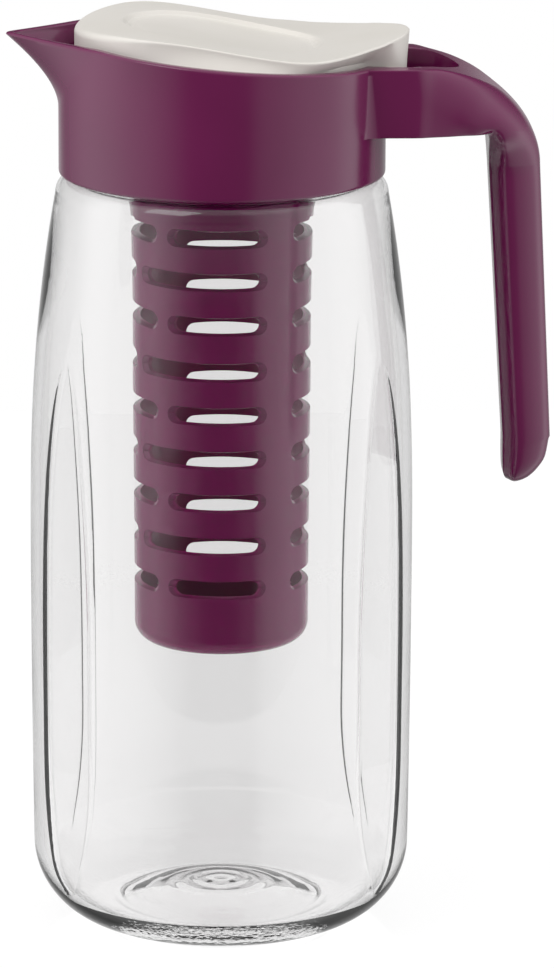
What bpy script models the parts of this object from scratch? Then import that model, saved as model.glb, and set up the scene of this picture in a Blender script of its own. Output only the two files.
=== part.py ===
"""Fruit infuser jug: a fluted glass body, a collar with spout and handle, an infuser and a rocking lid.

Metres, +Z up. The glass stands on z = 0. The spout points to -X and the handle to +X.
"""
import math

import bmesh
import bpy
from mathutils import Vector

# Glass body
BELLY_RADIUS = 0.0560
BELLY_HEIGHT = 0.1160
FOOT_DRAW_IN = 0.0006
HEEL_RADIUS = 0.0233
SHOULDER_HEIGHT = 0.2180
SHOULDER_ROUND = 0.0050
SHOULDER_LEDGE = 0.0010
SHOULDER_SWELL_POWER = 2.4
NECK_RADIUS = 0.0424
NECK_HEIGHT = 0.0150
LIP_ROUND = 0.0012
GLASS_WALL = 0.0028
GLASS_FLOOR = 0.0052
STAND_RING_RADIUS = 0.0310
STAND_RING_WIDTH = 0.0040
PUSH_UP_HEIGHT = 0.0070
PUSH_UP_FLANK_SHARE = 0.8

# Flutes in the glass
FLUTE_ANGLE = math.radians(57.0)
FLUTE_TOP_DROP = 0.0450
FLUTE_BOTTOM = 0.0140
FLUTE_DEPTH = 0.0012
FLUTE_RUN_OUT = 0.0400

# Collar with its spout
THREAD_GAP = 0.0013
COLLAR_WALL = 0.0036
COLLAR_EDGE_ROUND = 0.0012
BASIN_FLOOR = 0.0025
BASIN_DEPTH = 0.0185
RIM_SLOPE = 0.0880
SPOUT_LENGTH = 0.0159
SPOUT_LEVEL_LENGTH = 0.0080
SPOUT_TIP_RISE = 0.0008
SPOUT_FLARE_HEIGHT = 0.0180
SPOUT_FLARE_POWER = 1.70
SPOUT_WALL = 0.0026

# Gasket on the lip of the glass
GASKET_THICKNESS = 0.0014
GASKET_WIDTH = 0.0056

# Clearances
SEAT_GAP = 0.0003
RUNNING_GAP = 0.0004
LID_SIDE_GAP = 0.0006
LID_MOUTH_GAP = 0.0011
SHOULDER_GAP = 0.0005
OVERRUN = 0.0200

# Handle
ARM_HALF_WIDTH = 0.0230
ARM_STEP = 0.0004
ARM_STRAIGHT = 0.0067
ARM_FLOOR = 0.0039
HANDLE_LENGTH = 0.0487
HANDLE_HEIGHT = 0.1252
BEND_DROP = 0.0307
BEND_POWER = 1.93
GRIP_RAKE = 0.0040
GRIP_DEPTH = 0.0140
GRIP_TOP_DEPTH = 0.0150
GRIP_HALF_WIDTH = 0.0105
GRIP_END_ROUND = 0.0135
NOSE_HALF_WIDTH = 0.0052
SPINE_HALF_WIDTH = 0.0030

# Pocket for the lid's tail, between the rails of the arm
RAIL_WIDTH = 0.0060
POCKET_DEPTH = 0.0160
POCKET_LENGTH = 0.0214

# Lid
LID_WALL = 0.0022
LID_CREST_RISE = 0.0071
LID_CREST_AHEAD = 0.0280
LID_BROW_DROP = 0.0016
LID_TROUGH_BACK = 0.0270
LID_TROUGH_DROP = 0.0064
LID_TAIL_RISE = 0.0038
LID_TAIL_POWER = 1.5
LID_EDGE_ROUND = 0.0010
LID_TAIL_LENGTH = 0.0103
LID_LIP = 0.0011
LID_TAIL_DROP = 0.0042
LID_SKIRT_DROP = 0.0040
LID_SKIRT_BACK = 0.0300
DISH_BACK = 0.0000
DISH_HALF_LENGTH = 0.0290
DISH_HALF_WIDTH = 0.0258
DISH_DEPTH = 0.0014

# Pivot of the lid
PIVOT_INSET = 0.0003
PIVOT_DROP = 0.0052
TRUNNION_RADIUS = 0.0020
TRUNNION_LENGTH = 0.0019
BOSS_RADIUS = 0.0042
BOSS_LENGTH = 0.0026

# Infuser
INFUSER_TOP_RADIUS = 0.0258
INFUSER_TAPER = 0.0005
INFUSER_LENGTH = 0.1547
INFUSER_WALL = 0.0018
INFUSER_BOTTOM_ROUND = 0.0055
INFUSER_FLOOR = 0.0020
SLOT_ROWS = 10
SLOT_FIRST_RISE = 0.0204
SLOT_LAST_DROP = 0.0182
SLOT_HEIGHT = 0.0056
RIB_ANGLE = math.radians(39.0)
RIB_WIDTH = math.radians(21.0)
WEB_WIDTH = math.radians(8.0)
UPPER_ROW_WEB = math.radians(-42.0)
LOWER_ROW_WEB = math.radians(-67.0)

# Bayonet that holds the infuser
SOCKET_WALL = 0.0033
SOCKET_DEPTH = 0.0095
SOCKET_LIP = 0.0035
SOCKET_SHOULDER = 0.0018
LUG_HEIGHT = 0.0032
LUG_REACH = 0.0021
LUG_WIDTH = math.radians(24.0)
LUG_ENTRY_WIDTH = math.radians(32.0)
LUG_TURN = math.radians(60.0)
LUG_COUNT = 2

# Facets
GLASS_STEPS = 56
GASKET_STEPS = 48
COLLAR_STEPS = 64
INFUSER_STEPS = 28
SMALL_STEPS = 16
SMOOTH_ANGLE = math.radians(38.0)
MERGE_SHARE = 0.01

# Collar and spout, worked out from the sizes above
COLLAR_BORE = NECK_RADIUS + THREAD_GAP
COLLAR_RADIUS = COLLAR_BORE + COLLAR_WALL
SPOUT_REACH = COLLAR_RADIUS + SPOUT_LENGTH
HANDLE_REACH = COLLAR_RADIUS + HANDLE_LENGTH
AXIS_X = (SPOUT_REACH - HANDLE_REACH) / 2
SHOULDER_RADIUS = COLLAR_RADIUS + SHOULDER_LEDGE
FOOT_RADIUS = BELLY_RADIUS - FOOT_DRAW_IN
NECK_ROOT = SHOULDER_HEIGHT + SHOULDER_ROUND
COLLAR_BOTTOM = NECK_ROOT + SHOULDER_GAP
LIP_HEIGHT = NECK_ROOT + NECK_HEIGHT
GASKET_BOTTOM = LIP_HEIGHT + SEAT_GAP
FLOOR_UNDERSIDE = GASKET_BOTTOM + GASKET_THICKNESS + SEAT_GAP
FLOOR_TOP = FLOOR_UNDERSIDE + BASIN_FLOOR
RIM_HEIGHT = FLOOR_TOP + BASIN_DEPTH
SPOUT_FLARE_START = RIM_HEIGHT - SPOUT_FLARE_HEIGHT
SPOUT_LEVEL_FROM = COLLAR_BORE - SPOUT_LEVEL_LENGTH
FLUTE_TOP = SHOULDER_HEIGHT - FLUTE_TOP_DROP

# Handle, pocket and pivot, worked out from the sizes above
ARM_TOP = RIM_HEIGHT - RIM_SLOPE * COLLAR_RADIUS + ARM_STEP
POCKET_FLOOR = ARM_TOP - POCKET_DEPTH
ARM_UNDERSIDE = POCKET_FLOOR - ARM_FLOOR
BEND_START = COLLAR_RADIUS + ARM_STRAIGHT
BEND_REACH = HANDLE_REACH - GRIP_RAKE
BEND_BOTTOM = ARM_TOP - BEND_DROP
GRIP_INNER_TOP = BEND_REACH - GRIP_TOP_DEPTH
GRIP_INNER_BOTTOM = HANDLE_REACH - GRIP_DEPTH
GRIP_BOTTOM = ARM_TOP - HANDLE_HEIGHT
POCKET_HALF_WIDTH = ARM_HALF_WIDTH - RAIL_WIDTH
PIVOT_X = COLLAR_RADIUS - PIVOT_INSET
PIVOT_Z = ARM_TOP - PIVOT_DROP
DAM_TOP = PIVOT_Z - BOSS_RADIUS - LID_SIDE_GAP

# Lid and infuser, worked out from the sizes above
LID_RADIUS = COLLAR_BORE - LID_MOUTH_GAP
LID_CREST = RIM_HEIGHT + LID_CREST_RISE
LID_TROUGH = LID_CREST - LID_TROUGH_DROP
LID_TAIL_END = LID_RADIUS + LID_TAIL_LENGTH
LID_TAIL_BOTTOM = ARM_TOP - LID_TAIL_DROP
TAIL_HALF_WIDTH = POCKET_HALF_WIDTH - LID_SIDE_GAP
SOCKET_TOP = FLOOR_UNDERSIDE - SEAT_GAP
SOCKET_RADIUS = INFUSER_TOP_RADIUS + RUNNING_GAP
SOCKET_BORE = INFUSER_TOP_RADIUS - SOCKET_SHOULDER
SOCKET_BOTTOM = FLOOR_UNDERSIDE - SOCKET_DEPTH
INFUSER_TOP = SOCKET_TOP - SEAT_GAP
INFUSER_BOTTOM = INFUSER_TOP - INFUSER_LENGTH
INFUSER_BOTTOM_RADIUS = INFUSER_TOP_RADIUS - INFUSER_TAPER
SLOT_FIRST_ROW = INFUSER_BOTTOM + SLOT_FIRST_RISE
SLOT_PITCH = (INFUSER_LENGTH - SLOT_FIRST_RISE - SLOT_LAST_DROP) / (SLOT_ROWS - 1)

# Shares of the handle's bend: turn, inner x and z, half widths of nose, widest line and spine, then the
# places of the widest line and the nose line across the section, and the width left on the inner face
BEND_SHARES = [
    (0.00, 0.00, 0.00, 1.00, 1.00, 1.00, 0.50, 0.03, 0.98),
    (0.12, 0.22, 0.00, 0.94, 0.92, 0.77, 0.45, 0.03, 0.98),
    (0.24, 0.44, 0.00, 0.87, 0.84, 0.61, 0.36, 0.03, 0.98),
    (0.36, 0.64, 0.00, 0.80, 0.78, 0.40, 0.30, 0.04, 0.97),
    (0.47, 0.82, 0.00, 0.76, 0.71, 0.10, 0.26, 0.05, 0.96),
    (0.58, 0.94, 0.02, 0.63, 0.64, 0.00, 0.30, 0.07, 0.92),
    (0.72, 0.98, 0.25, 0.43, 0.54, 0.00, 0.44, 0.09, 0.87),
    (0.86, 0.99, 0.60, 0.17, 0.24, 0.00, 0.56, 0.11, 0.82),
    (1.00, 1.00, 1.00, 0.00, 0.00, 0.00, 0.64, 0.12, 0.80),
]

# Shares of the grip's rounded end: rise of the inner and outer points, their steps in, and the width left
GRIP_END_SHARES = [
    (0.70, 0.95, 0.00, 0.02, 0.99),
    (0.44, 0.56, 0.005, 0.09, 0.96),
    (0.22, 0.30, 0.02, 0.24, 0.88),
    (0.06, 0.11, 0.08, 0.42, 0.72),
    (0.00, 0.02, 0.18, 0.56, 0.46),
]

# Shares of the pocket's plan: place along its length, and half width
POCKET_SHARES = [(0.0, 1.0), (0.32, 0.985), (0.53, 0.88), (0.76, 0.68), (0.92, 0.38), (1.0, 0.12)]

# Shares of the lid's crease at each angle from the tail: how far it draws in, and how far it follows the tail
LID_CREASE_SHARES = [
    (0, 0.0, 1.0),
    (5, 0.0, 0.975),
    (9, 0.0, 0.93),
    (12.5, 0.0, 0.865),
    (15.5, 0.0, 0.79),
    (18, 0.0, 0.72),
    (20, 0.0, 0.675),
    (22.5, 0.0, 0.625),
    (25.5, 0.0, 0.54),
    (29, 0.0, 0.43),
    (34, 0.0, 0.35),
    (40, 0.0, 0.265),
    (47, 0.0, 0.19),
    (54, 0.004, 0.115),
    (61, 0.025, 0.05),
    (68, 0.08, 0.0),
    (76, 0.129, 0.0),
    (84, 0.15, 0.0),
    (92, 0.155, 0.0),
    (100, 0.141, 0.0),
    (108, 0.11, 0.0),
    (116, 0.066, 0.0),
    (124, 0.023, 0.0),
    (132, 0.002, 0.0),
    (141, 0.0, 0.0),
    (150, 0.0, 0.0),
    (160, 0.0, 0.0),
    (170, 0.0, 0.0),
    (180, 0.0, 0.0),
]
TAIL_SQUARE_POWER = 6
TAIL_SWEEP_POWER = 24

# Shares of the lid's edge round: inset and drop of each ring, and shares of the outline for the rings inside
LID_EDGE_SHARES = [(1.6, 0.0), (0.6, 0.15), (0.1, 0.6), (0.0, 1.0)]
LID_RING_SHARES = [0.30, 0.55, 0.80]

# Shares of other small forms
COLLAR_EDGE_SHARE = 0.3
SLOT_TOOL_SHARES = (0.7, 1.15)
SLOT_END_SHARE = 0.3
SLOT_END_TURNS = (15, 60)
SLOT_STATION_ANGLE = math.radians(30.0)


def material(name, colour, roughness, metallic=0.0, transmission=0.0):
    """Make a Principled material."""
    made = bpy.data.materials.new(name)
    made.use_nodes = True
    shader = made.node_tree.nodes["Principled BSDF"]
    shader.inputs["Base Color"].default_value = (*colour, 1.0)
    shader.inputs["Roughness"].default_value = roughness
    shader.inputs["Metallic"].default_value = metallic
    shader.inputs["Transmission Weight"].default_value = transmission
    made.diffuse_color = (*colour, 1.0)
    return made


def mesh_object(name, bm, parent, finish=None, origin=(0, 0, 0)):
    """Turn a bmesh into an object whose origin lies at the given point of its parent."""
    bmesh.ops.remove_doubles(bm, verts=bm.verts, dist=LIP_ROUND * MERGE_SHARE)
    bmesh.ops.recalc_face_normals(bm, faces=bm.faces)
    bmesh.ops.translate(bm, verts=bm.verts, vec=-Vector(origin))
    mesh = bpy.data.meshes.new(name)
    bm.to_mesh(mesh)
    bm.free()
    made = bpy.data.objects.new(name, mesh)
    bpy.context.scene.collection.objects.link(made)
    made.parent = parent
    made.location = origin
    if finish:
        mesh.materials.append(finish)
    mesh.shade_smooth()
    mesh.set_sharp_from_angle(angle=SMOOTH_ANGLE)
    return made


def empty(name, parent, location):
    """Add an empty that carries a group of pieces or marks a pivot."""
    made = bpy.data.objects.new(name, None)
    bpy.context.scene.collection.objects.link(made)
    made.parent = parent
    made.location = location
    return made


def boolean(target, tool, operation):
    """Cut or join with a tool that is itself no part of the jug."""
    modifier = target.modifiers.new(tool.name, "BOOLEAN")
    modifier.operation = operation
    modifier.object = tool
    modifier.solver = "EXACT"
    tool.hide_render = True
    tool.display_type = "WIRE"


def between(start, end, share):
    """The value a share of the way from start to end."""
    return start + (end - start) * share


def arc(centre_r, centre_z, radius, start, end, steps):
    """Points of an arc in a plane, from angle start to angle end in degrees."""
    points = []
    for i in range(steps + 1):
        angle = math.radians(between(start, end, i / steps))
        points.append((centre_r + radius * math.cos(angle), centre_z + radius * math.sin(angle)))
    return points


def turned(outline, steps, closed=True):
    """Spin a profile of (radius, height) points about the Z axis."""
    bm = bmesh.new()
    verts = [bm.verts.new((r, 0, z)) for r, z in outline]
    edges = [bm.edges.new(pair) for pair in zip(verts, verts[1:])]
    if closed:
        edges.append(bm.edges.new((verts[-1], verts[0])))
    bmesh.ops.spin(
        bm,
        geom=verts + edges,
        cent=(0, 0, 0),
        axis=(0, 0, 1),
        angle=math.tau,
        steps=steps,
        use_merge=True,
    )
    return bm


def lofted(rings, bm=None):
    """Skin a list of rings of equal length and cap both ends."""
    bm = bm or bmesh.new()
    rows = [[bm.verts.new(point) for point in ring] for ring in rings]
    count = len(rows[0])
    for low, high in zip(rows, rows[1:]):
        for i in range(count):
            j = (i + 1) % count
            bm.faces.new((low[i], low[j], high[j], high[i]))
    bm.faces.new(list(reversed(rows[0])))
    bm.faces.new(rows[-1])
    return bm


def prism(outline, low, high, bm=None):
    """An upright prism on a plan outline, between two heights."""
    return lofted([[(x, y, low) for x, y in outline], [(x, y, high) for x, y in outline]], bm)


def bar_along_y(x, z, radius, start, end, bm=None):
    """A round bar about an axis along Y."""
    ring = arc(x, z, radius, 0, 360, SMALL_STEPS)[:-1]
    return lofted([[(px, start, pz) for px, pz in ring], [(px, end, pz) for px, pz in ring]], bm)


def belly_radius_at(z):
    """Outer radius of the glass between the heel and the shoulder."""
    if z <= BELLY_HEIGHT:
        share = (BELLY_HEIGHT - max(z, HEEL_RADIUS)) / (BELLY_HEIGHT - HEEL_RADIUS)
        return BELLY_RADIUS - FOOT_DRAW_IN * share**2
    share = (z - BELLY_HEIGHT) / (SHOULDER_HEIGHT - BELLY_HEIGHT)
    return BELLY_RADIUS - (BELLY_RADIUS - SHOULDER_RADIUS) * share**SHOULDER_SWELL_POWER


def glass_profile():
    """Profile of the glass: up the outside, over the lip and down the inside."""
    ring_out = STAND_RING_RADIUS + STAND_RING_WIDTH / 2
    ring_in = STAND_RING_RADIUS - STAND_RING_WIDTH / 2
    flank = PUSH_UP_HEIGHT * PUSH_UP_FLANK_SHARE
    outside = [(0, PUSH_UP_HEIGHT), (ring_in / 2, flank), (ring_in, 0), (ring_out, 0)]
    outside += arc(FOOT_RADIUS - HEEL_RADIUS, HEEL_RADIUS, HEEL_RADIUS, -80, 0, 6)
    rows = 10
    for i in range(1, rows):
        z = between(HEEL_RADIUS, SHOULDER_HEIGHT, i / rows)
        outside.append((belly_radius_at(z), z))
    outside += arc(SHOULDER_RADIUS - SHOULDER_ROUND, SHOULDER_HEIGHT, SHOULDER_ROUND, 0, 80, 2)
    outside.append((NECK_RADIUS, NECK_ROOT))
    outside += arc(NECK_RADIUS - LIP_ROUND, LIP_HEIGHT - LIP_ROUND, LIP_ROUND, 0, 90, 1)
    neck_bore = NECK_RADIUS - GLASS_WALL
    inside = arc(neck_bore + LIP_ROUND, LIP_HEIGHT - LIP_ROUND, LIP_ROUND, 90, 180, 1)
    inside.append((neck_bore, NECK_ROOT))
    inside.append((SHOULDER_RADIUS - GLASS_WALL - LIP_ROUND, SHOULDER_HEIGHT))
    for i in range(rows - 1, 0, -3):
        z = between(HEEL_RADIUS, SHOULDER_HEIGHT, i / rows)
        inside.append((belly_radius_at(z) - GLASS_WALL, z))
    inner_heel = HEEL_RADIUS - GLASS_FLOOR
    inside += arc(FOOT_RADIUS - GLASS_WALL - inner_heel, HEEL_RADIUS, inner_heel, 0, -90, 4)
    inside += [(ring_in / 2, GLASS_FLOOR + flank), (0, GLASS_FLOOR + PUSH_UP_HEIGHT)]
    return outside + inside


def flute_face_at(z):
    """Distance from the axis to the flat face of a flute, or None past its ends."""
    ends = min(z - FLUTE_BOTTOM, FLUTE_TOP - z)
    if ends <= 0:
        return None
    depth = FLUTE_DEPTH * math.sin(min(1.0, ends / FLUTE_RUN_OUT) * math.pi / 2)
    rise = max(0.0, HEEL_RADIUS - z)
    heel = HEEL_RADIUS - math.sqrt(HEEL_RADIUS**2 - rise**2)
    return belly_radius_at(z) - heel - depth


def press_flutes(bm):
    """Flatten the outer wall where a flute's face lies inside it."""
    for vert in bm.verts:
        radius = math.hypot(vert.co.x, vert.co.y)
        face = flute_face_at(vert.co.z)
        if face is None or radius < face:
            continue
        from_front = abs(math.atan2(vert.co.x, -vert.co.y))
        off_flute = abs(min(from_front, math.pi - from_front) - FLUTE_ANGLE)
        pressed = min(radius, face / math.cos(off_flute))
        vert.co.x *= pressed / radius
        vert.co.y *= pressed / radius


def make_glass(parent, finish):
    """The glass body with its four flutes."""
    body = turned(glass_profile(), GLASS_STEPS, closed=False)
    press_flutes(body)
    return mesh_object("glass_body", body, parent, finish)


def make_gasket(parent, finish):
    """The flat ring that seals the lip of the glass against the collar's floor."""
    outer = COLLAR_BORE - SEAT_GAP
    inner = outer - GASKET_WIDTH
    top = GASKET_BOTTOM + GASKET_THICKNESS
    profile = [(inner, GASKET_BOTTOM), (outer, GASKET_BOTTOM), (outer, top), (inner, top)]
    return mesh_object("neck_gasket", turned(profile, GASKET_STEPS), parent, finish)


def rim_height_at(x):
    """Height of the sloping rim, which runs nearly level out along the spout."""
    height = RIM_HEIGHT - RIM_SLOPE * max(x, -SPOUT_LEVEL_FROM)
    beyond = max(0.0, -x - SPOUT_LEVEL_FROM) / (SPOUT_REACH - SPOUT_LEVEL_FROM)
    return height + SPOUT_TIP_RISE * beyond**2


def beak_ring(radius, reach, height):
    """A circle of the given radius drawn out to a beak at -X; height gives z from x."""
    spread = math.acos(min(1.0, radius / reach))
    points = []
    for i in range(COLLAR_STEPS):
        angle = math.tau * i / COLLAR_STEPS
        off_spout = abs(angle - math.pi)
        length = radius
        if off_spout < spread:
            length = radius / math.cos(spread - off_spout)
        x = length * math.cos(angle)
        y = length * math.sin(angle)
        points.append((x, y, height(x)))
    return points


def flared_rings(radius, reach, start):
    """Rings from a round one at height start up to the rim, drawn out to the spout as they rise."""
    rings = []
    levels = 8
    for i in range(levels + 1):
        share = i / levels
        beak = between(radius, reach, share**SPOUT_FLARE_POWER)

        def height(x, share=share):
            return between(start, rim_height_at(x), share)

        rings.append(beak_ring(radius, beak, height))
    return rings


def collar_outside():
    """Rings of the collar's outer form, from its bottom edge to the rim."""
    rings = []
    bevel = COLLAR_EDGE_ROUND * COLLAR_EDGE_SHARE
    for inset, rise in ((COLLAR_EDGE_ROUND, 0), (bevel, bevel), (0, COLLAR_EDGE_ROUND)):
        radius = COLLAR_RADIUS - inset
        rings.append(beak_ring(radius, radius, lambda x, rise=rise: COLLAR_BOTTOM + rise))
    return rings + flared_rings(COLLAR_RADIUS, SPOUT_REACH, SPOUT_FLARE_START)


def basin_space():
    """Rings of the open space above the collar's floor, out along the spout and past the rim."""
    rings = flared_rings(COLLAR_BORE, SPOUT_REACH - SPOUT_WALL, FLOOR_TOP)
    rings.append([(x, y, z + OVERRUN) for x, y, z in rings[-1]])
    return rings


def neck_space():
    """Profile of the space inside the collar below its floor, with the socket of the infuser."""
    socket_outer = SOCKET_RADIUS + SOCKET_WALL
    groove = SOCKET_RADIUS + LUG_REACH
    groove_bottom = SOCKET_BOTTOM + SOCKET_LIP
    groove_top = groove_bottom + LUG_HEIGHT + 2 * RUNNING_GAP
    return [
        (0, COLLAR_BOTTOM - OVERRUN),
        (COLLAR_BORE, COLLAR_BOTTOM - OVERRUN),
        (COLLAR_BORE, FLOOR_UNDERSIDE),
        (socket_outer, FLOOR_UNDERSIDE),
        (socket_outer, SOCKET_BOTTOM),
        (SOCKET_RADIUS, SOCKET_BOTTOM),
        (SOCKET_RADIUS, groove_bottom),
        (groove, groove_bottom),
        (groove, groove_top),
        (SOCKET_RADIUS, groove_top),
        (SOCKET_RADIUS, SOCKET_TOP),
        (SOCKET_BORE, SOCKET_TOP),
        (SOCKET_BORE, FLOOR_TOP + OVERRUN / 2),
        (0, FLOOR_TOP + OVERRUN / 2),
    ]


def sector(inner, outer, low, high, centre, width, steps, bm=None):
    """A block bent about the Z axis between two radii and two heights."""
    rings = []
    for i in range(steps + 1):
        angle = centre - width / 2 + width * i / steps
        ring = [(inner, low), (outer, low), (outer, high), (inner, high)]
        rings.append([(r * math.cos(angle), r * math.sin(angle), z) for r, z in ring])
    return lofted(rings, bm)


def handle_section(inner, outer, half_widths, wide_share, nose_share, face_share):
    """Ring of a handle section between an inner and an outer point of the side view."""
    half_nose, half_wide, half_spine = half_widths
    steps = 4
    half = [(0, half_nose * face_share), (nose_share, half_nose)]
    for i in range(1, steps + 1):
        turn = i / steps * math.pi / 2
        half.append((between(nose_share, wide_share, i / steps), between(half_nose, half_wide, math.sin(turn))))
    for i in range(1, steps + 1):
        turn = i / steps * math.pi / 2
        half.append((between(wide_share, 1, i / steps), between(half_spine, half_wide, math.cos(turn))))
    ring = []
    for share, across in half + [(s, -a) for s, a in reversed(half)]:
        x = between(inner[0], outer[0], share)
        z = between(inner[1], outer[1], share)
        ring.append((x, across, z))
    return ring


def arm_and_bend():
    """Sections of the handle from inside the collar's wall to the foot of the bend."""
    full = (ARM_HALF_WIDTH, ARM_HALF_WIDTH, ARM_HALF_WIDTH)
    lines = BEND_SHARES[0][6:]
    rings = []
    for x in (COLLAR_RADIUS - 2 * COLLAR_WALL, COLLAR_RADIUS):
        rings.append(handle_section((x, ARM_UNDERSIDE), (x, ARM_TOP), full, *lines))
    for turn, inner_x, inner_z, nose, wide, spine, *lines in BEND_SHARES:
        across = math.sin(turn * math.pi / 2) ** (2 / BEND_POWER)
        up = max(0.0, math.cos(turn * math.pi / 2)) ** (2 / BEND_POWER)
        outer = (between(BEND_START, BEND_REACH, across), between(BEND_BOTTOM, ARM_TOP, up))
        inner_at = between(BEND_START, GRIP_INNER_TOP, inner_x)
        inner = (inner_at, between(ARM_UNDERSIDE, BEND_BOTTOM, inner_z))
        widths = (
            between(NOSE_HALF_WIDTH, ARM_HALF_WIDTH, nose),
            between(GRIP_HALF_WIDTH, ARM_HALF_WIDTH, wide),
            between(SPINE_HALF_WIDTH, ARM_HALF_WIDTH, spine),
        )
        rings.append(handle_section(inner, outer, widths, *lines))
    return rings


def grip():
    """Sections of the grip from the foot of the bend to its rounded end."""
    rings = []
    widths = (NOSE_HALF_WIDTH, GRIP_HALF_WIDTH, SPINE_HALF_WIDTH)
    lines = BEND_SHARES[-1][6:]
    steps = 5
    for i in range(1, steps + 1):
        share = i / steps
        z = between(BEND_BOTTOM, GRIP_BOTTOM + GRIP_END_ROUND, share)
        inner = (between(GRIP_INNER_TOP, GRIP_INNER_BOTTOM, share), z)
        outer = (between(BEND_REACH, HANDLE_REACH, share), z)
        rings.append(handle_section(inner, outer, widths, *lines))
    for inner_up, outer_up, inner_in, outer_in, width in GRIP_END_SHARES:
        inner = (GRIP_INNER_BOTTOM + GRIP_DEPTH * inner_in, GRIP_BOTTOM + GRIP_END_ROUND * inner_up)
        outer = (HANDLE_REACH - GRIP_DEPTH * outer_in, GRIP_BOTTOM + GRIP_END_ROUND * outer_up)
        rings.append(handle_section(inner, outer, [half * width for half in widths], *lines))
    return rings


def pocket_plan():
    """Plan of the pocket behind the collar, which closes to a point in the bend."""
    side = []
    for along, across in POCKET_SHARES:
        side.append((COLLAR_RADIUS + POCKET_LENGTH * along, POCKET_HALF_WIDTH * across))
    return [(x, -y) for x, y in side] + list(reversed(side))


def mouth_plan():
    """Plan of the way for the lid's tail through the collar's wall, rounded into the bore."""
    half = POCKET_HALF_WIDTH
    outside = COLLAR_RADIUS + SEAT_GAP
    centre_y = half + COLLAR_WALL
    centre_x = math.sqrt((COLLAR_BORE + COLLAR_WALL) ** 2 - centre_y**2)
    turn = math.degrees(math.atan2(centre_y, centre_x))
    side = [(outside, half)] + arc(centre_x, centre_y, COLLAR_WALL, -90, turn - 180, 4)
    side.append((COLLAR_BORE - 2 * COLLAR_WALL, side[-1][1]))
    return side + [(x, -y) for x, y in reversed(side)]


def lug_entries():
    """Tools for the two ways down which the lugs of the infuser come into the groove."""
    bm = bmesh.new()
    inner = SOCKET_RADIUS - SOCKET_WALL / 2
    outer = SOCKET_RADIUS + LUG_REACH
    low = SOCKET_BOTTOM - SOCKET_LIP
    high = SOCKET_BOTTOM + SOCKET_LIP + LUG_HEIGHT / 2
    for i in range(LUG_COUNT):
        centre = RIB_ANGLE - math.pi / 2 + math.tau * i / LUG_COUNT + LUG_TURN
        sector(inner, outer, low, high, centre, LUG_ENTRY_WIDTH, 4, bm)
    return bm


def make_collar(parent, finish):
    """Collar, spout and handle as one moulding, opened by the basin, the neck space and the pocket."""
    collar = mesh_object("spout_collar", lofted(collar_outside()), parent, finish)
    above = ARM_TOP + OVERRUN
    bore_reach = TAIL_HALF_WIDTH + TRUNNION_LENGTH + RUNNING_GAP
    bore_radius = TRUNNION_RADIUS + SEAT_GAP
    boolean(collar, mesh_object("handle_form", lofted(arm_and_bend() + grip()), parent), "UNION")
    cutters = {
        "basin_cutter": lofted(basin_space()),
        "neck_cutter": turned(neck_space(), COLLAR_STEPS, closed=False),
        "pocket_cutter": prism(pocket_plan(), POCKET_FLOOR, above),
        "mouth_cutter": prism(mouth_plan(), DAM_TOP, above),
        "trunnion_bore_cutter": bar_along_y(PIVOT_X, PIVOT_Z, bore_radius, -bore_reach, bore_reach),
        "lug_entry_cutter": lug_entries(),
    }
    for name, shape in cutters.items():
        boolean(collar, mesh_object(name, shape, parent), "DIFFERENCE")
    return collar


def infuser_profile():
    """Profile of the infuser: a closed bottom, a slightly tapered tube and an open top."""
    bottom_round = INFUSER_BOTTOM_ROUND
    floor_round = bottom_round - INFUSER_WALL
    outside = [(0, INFUSER_BOTTOM)]
    centre = INFUSER_BOTTOM_RADIUS - bottom_round
    outside += arc(centre, INFUSER_BOTTOM + bottom_round, bottom_round, -90, 0, 4)
    outside.append((INFUSER_TOP_RADIUS, INFUSER_TOP))
    inside = [(INFUSER_TOP_RADIUS - INFUSER_WALL, INFUSER_TOP)]
    floor_z = INFUSER_BOTTOM + INFUSER_FLOOR
    inside += arc(centre, floor_z + floor_round, floor_round, 0, -90, 3)
    inside.append((0, floor_z))
    return outside + inside


def slot_tool(centre, width, z, bm):
    """A slot's tool: a bent bar with rounded ends that passes through the infuser's wall."""
    inner = INFUSER_BOTTOM_RADIUS * SLOT_TOOL_SHARES[0]
    outer = INFUSER_TOP_RADIUS * SLOT_TOOL_SHARES[1]
    half_height = SLOT_HEIGHT / 2
    end_angle = half_height / INFUSER_BOTTOM_RADIUS
    ends = []
    for turn in SLOT_END_TURNS:
        angle = math.radians(turn)
        half = half_height * max(math.sin(angle), SLOT_END_SHARE)
        ends.append((-width / 2 + end_angle * (1 - math.cos(angle)), half))
    run = width / 2 - end_angle
    steps = max(2, round(width / SLOT_STATION_ANGLE))
    middle = [(between(-run, run, i / steps), half_height) for i in range(steps + 1)]
    rings = []
    for offset, half in ends + middle + [(-angle, half) for angle, half in reversed(ends)]:
        angle = centre + offset - math.pi / 2
        ring = [(inner, z - half), (outer, z - half), (outer, z + half), (inner, z + half)]
        rings.append([(r * math.cos(angle), r * math.sin(angle), up) for r, up in ring])
    lofted(rings, bm)


def infuser_slots():
    """All slots, staggered row by row like brickwork between two full-height ribs."""
    bm = bmesh.new()
    for row in range(SLOT_ROWS):
        z = SLOT_FIRST_ROW + SLOT_PITCH * row
        web = UPPER_ROW_WEB if row % 2 == 0 else LOWER_ROW_WEB
        for half_turn in (0, math.pi):
            first = RIB_ANGLE - math.pi + RIB_WIDTH / 2 + half_turn
            last = RIB_ANGLE - RIB_WIDTH / 2 + half_turn
            middle = web + half_turn
            for start, end in ((first, middle - WEB_WIDTH / 2), (middle + WEB_WIDTH / 2, last)):
                slot_tool((start + end) / 2, end - start, z, bm)
    return bm


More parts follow.
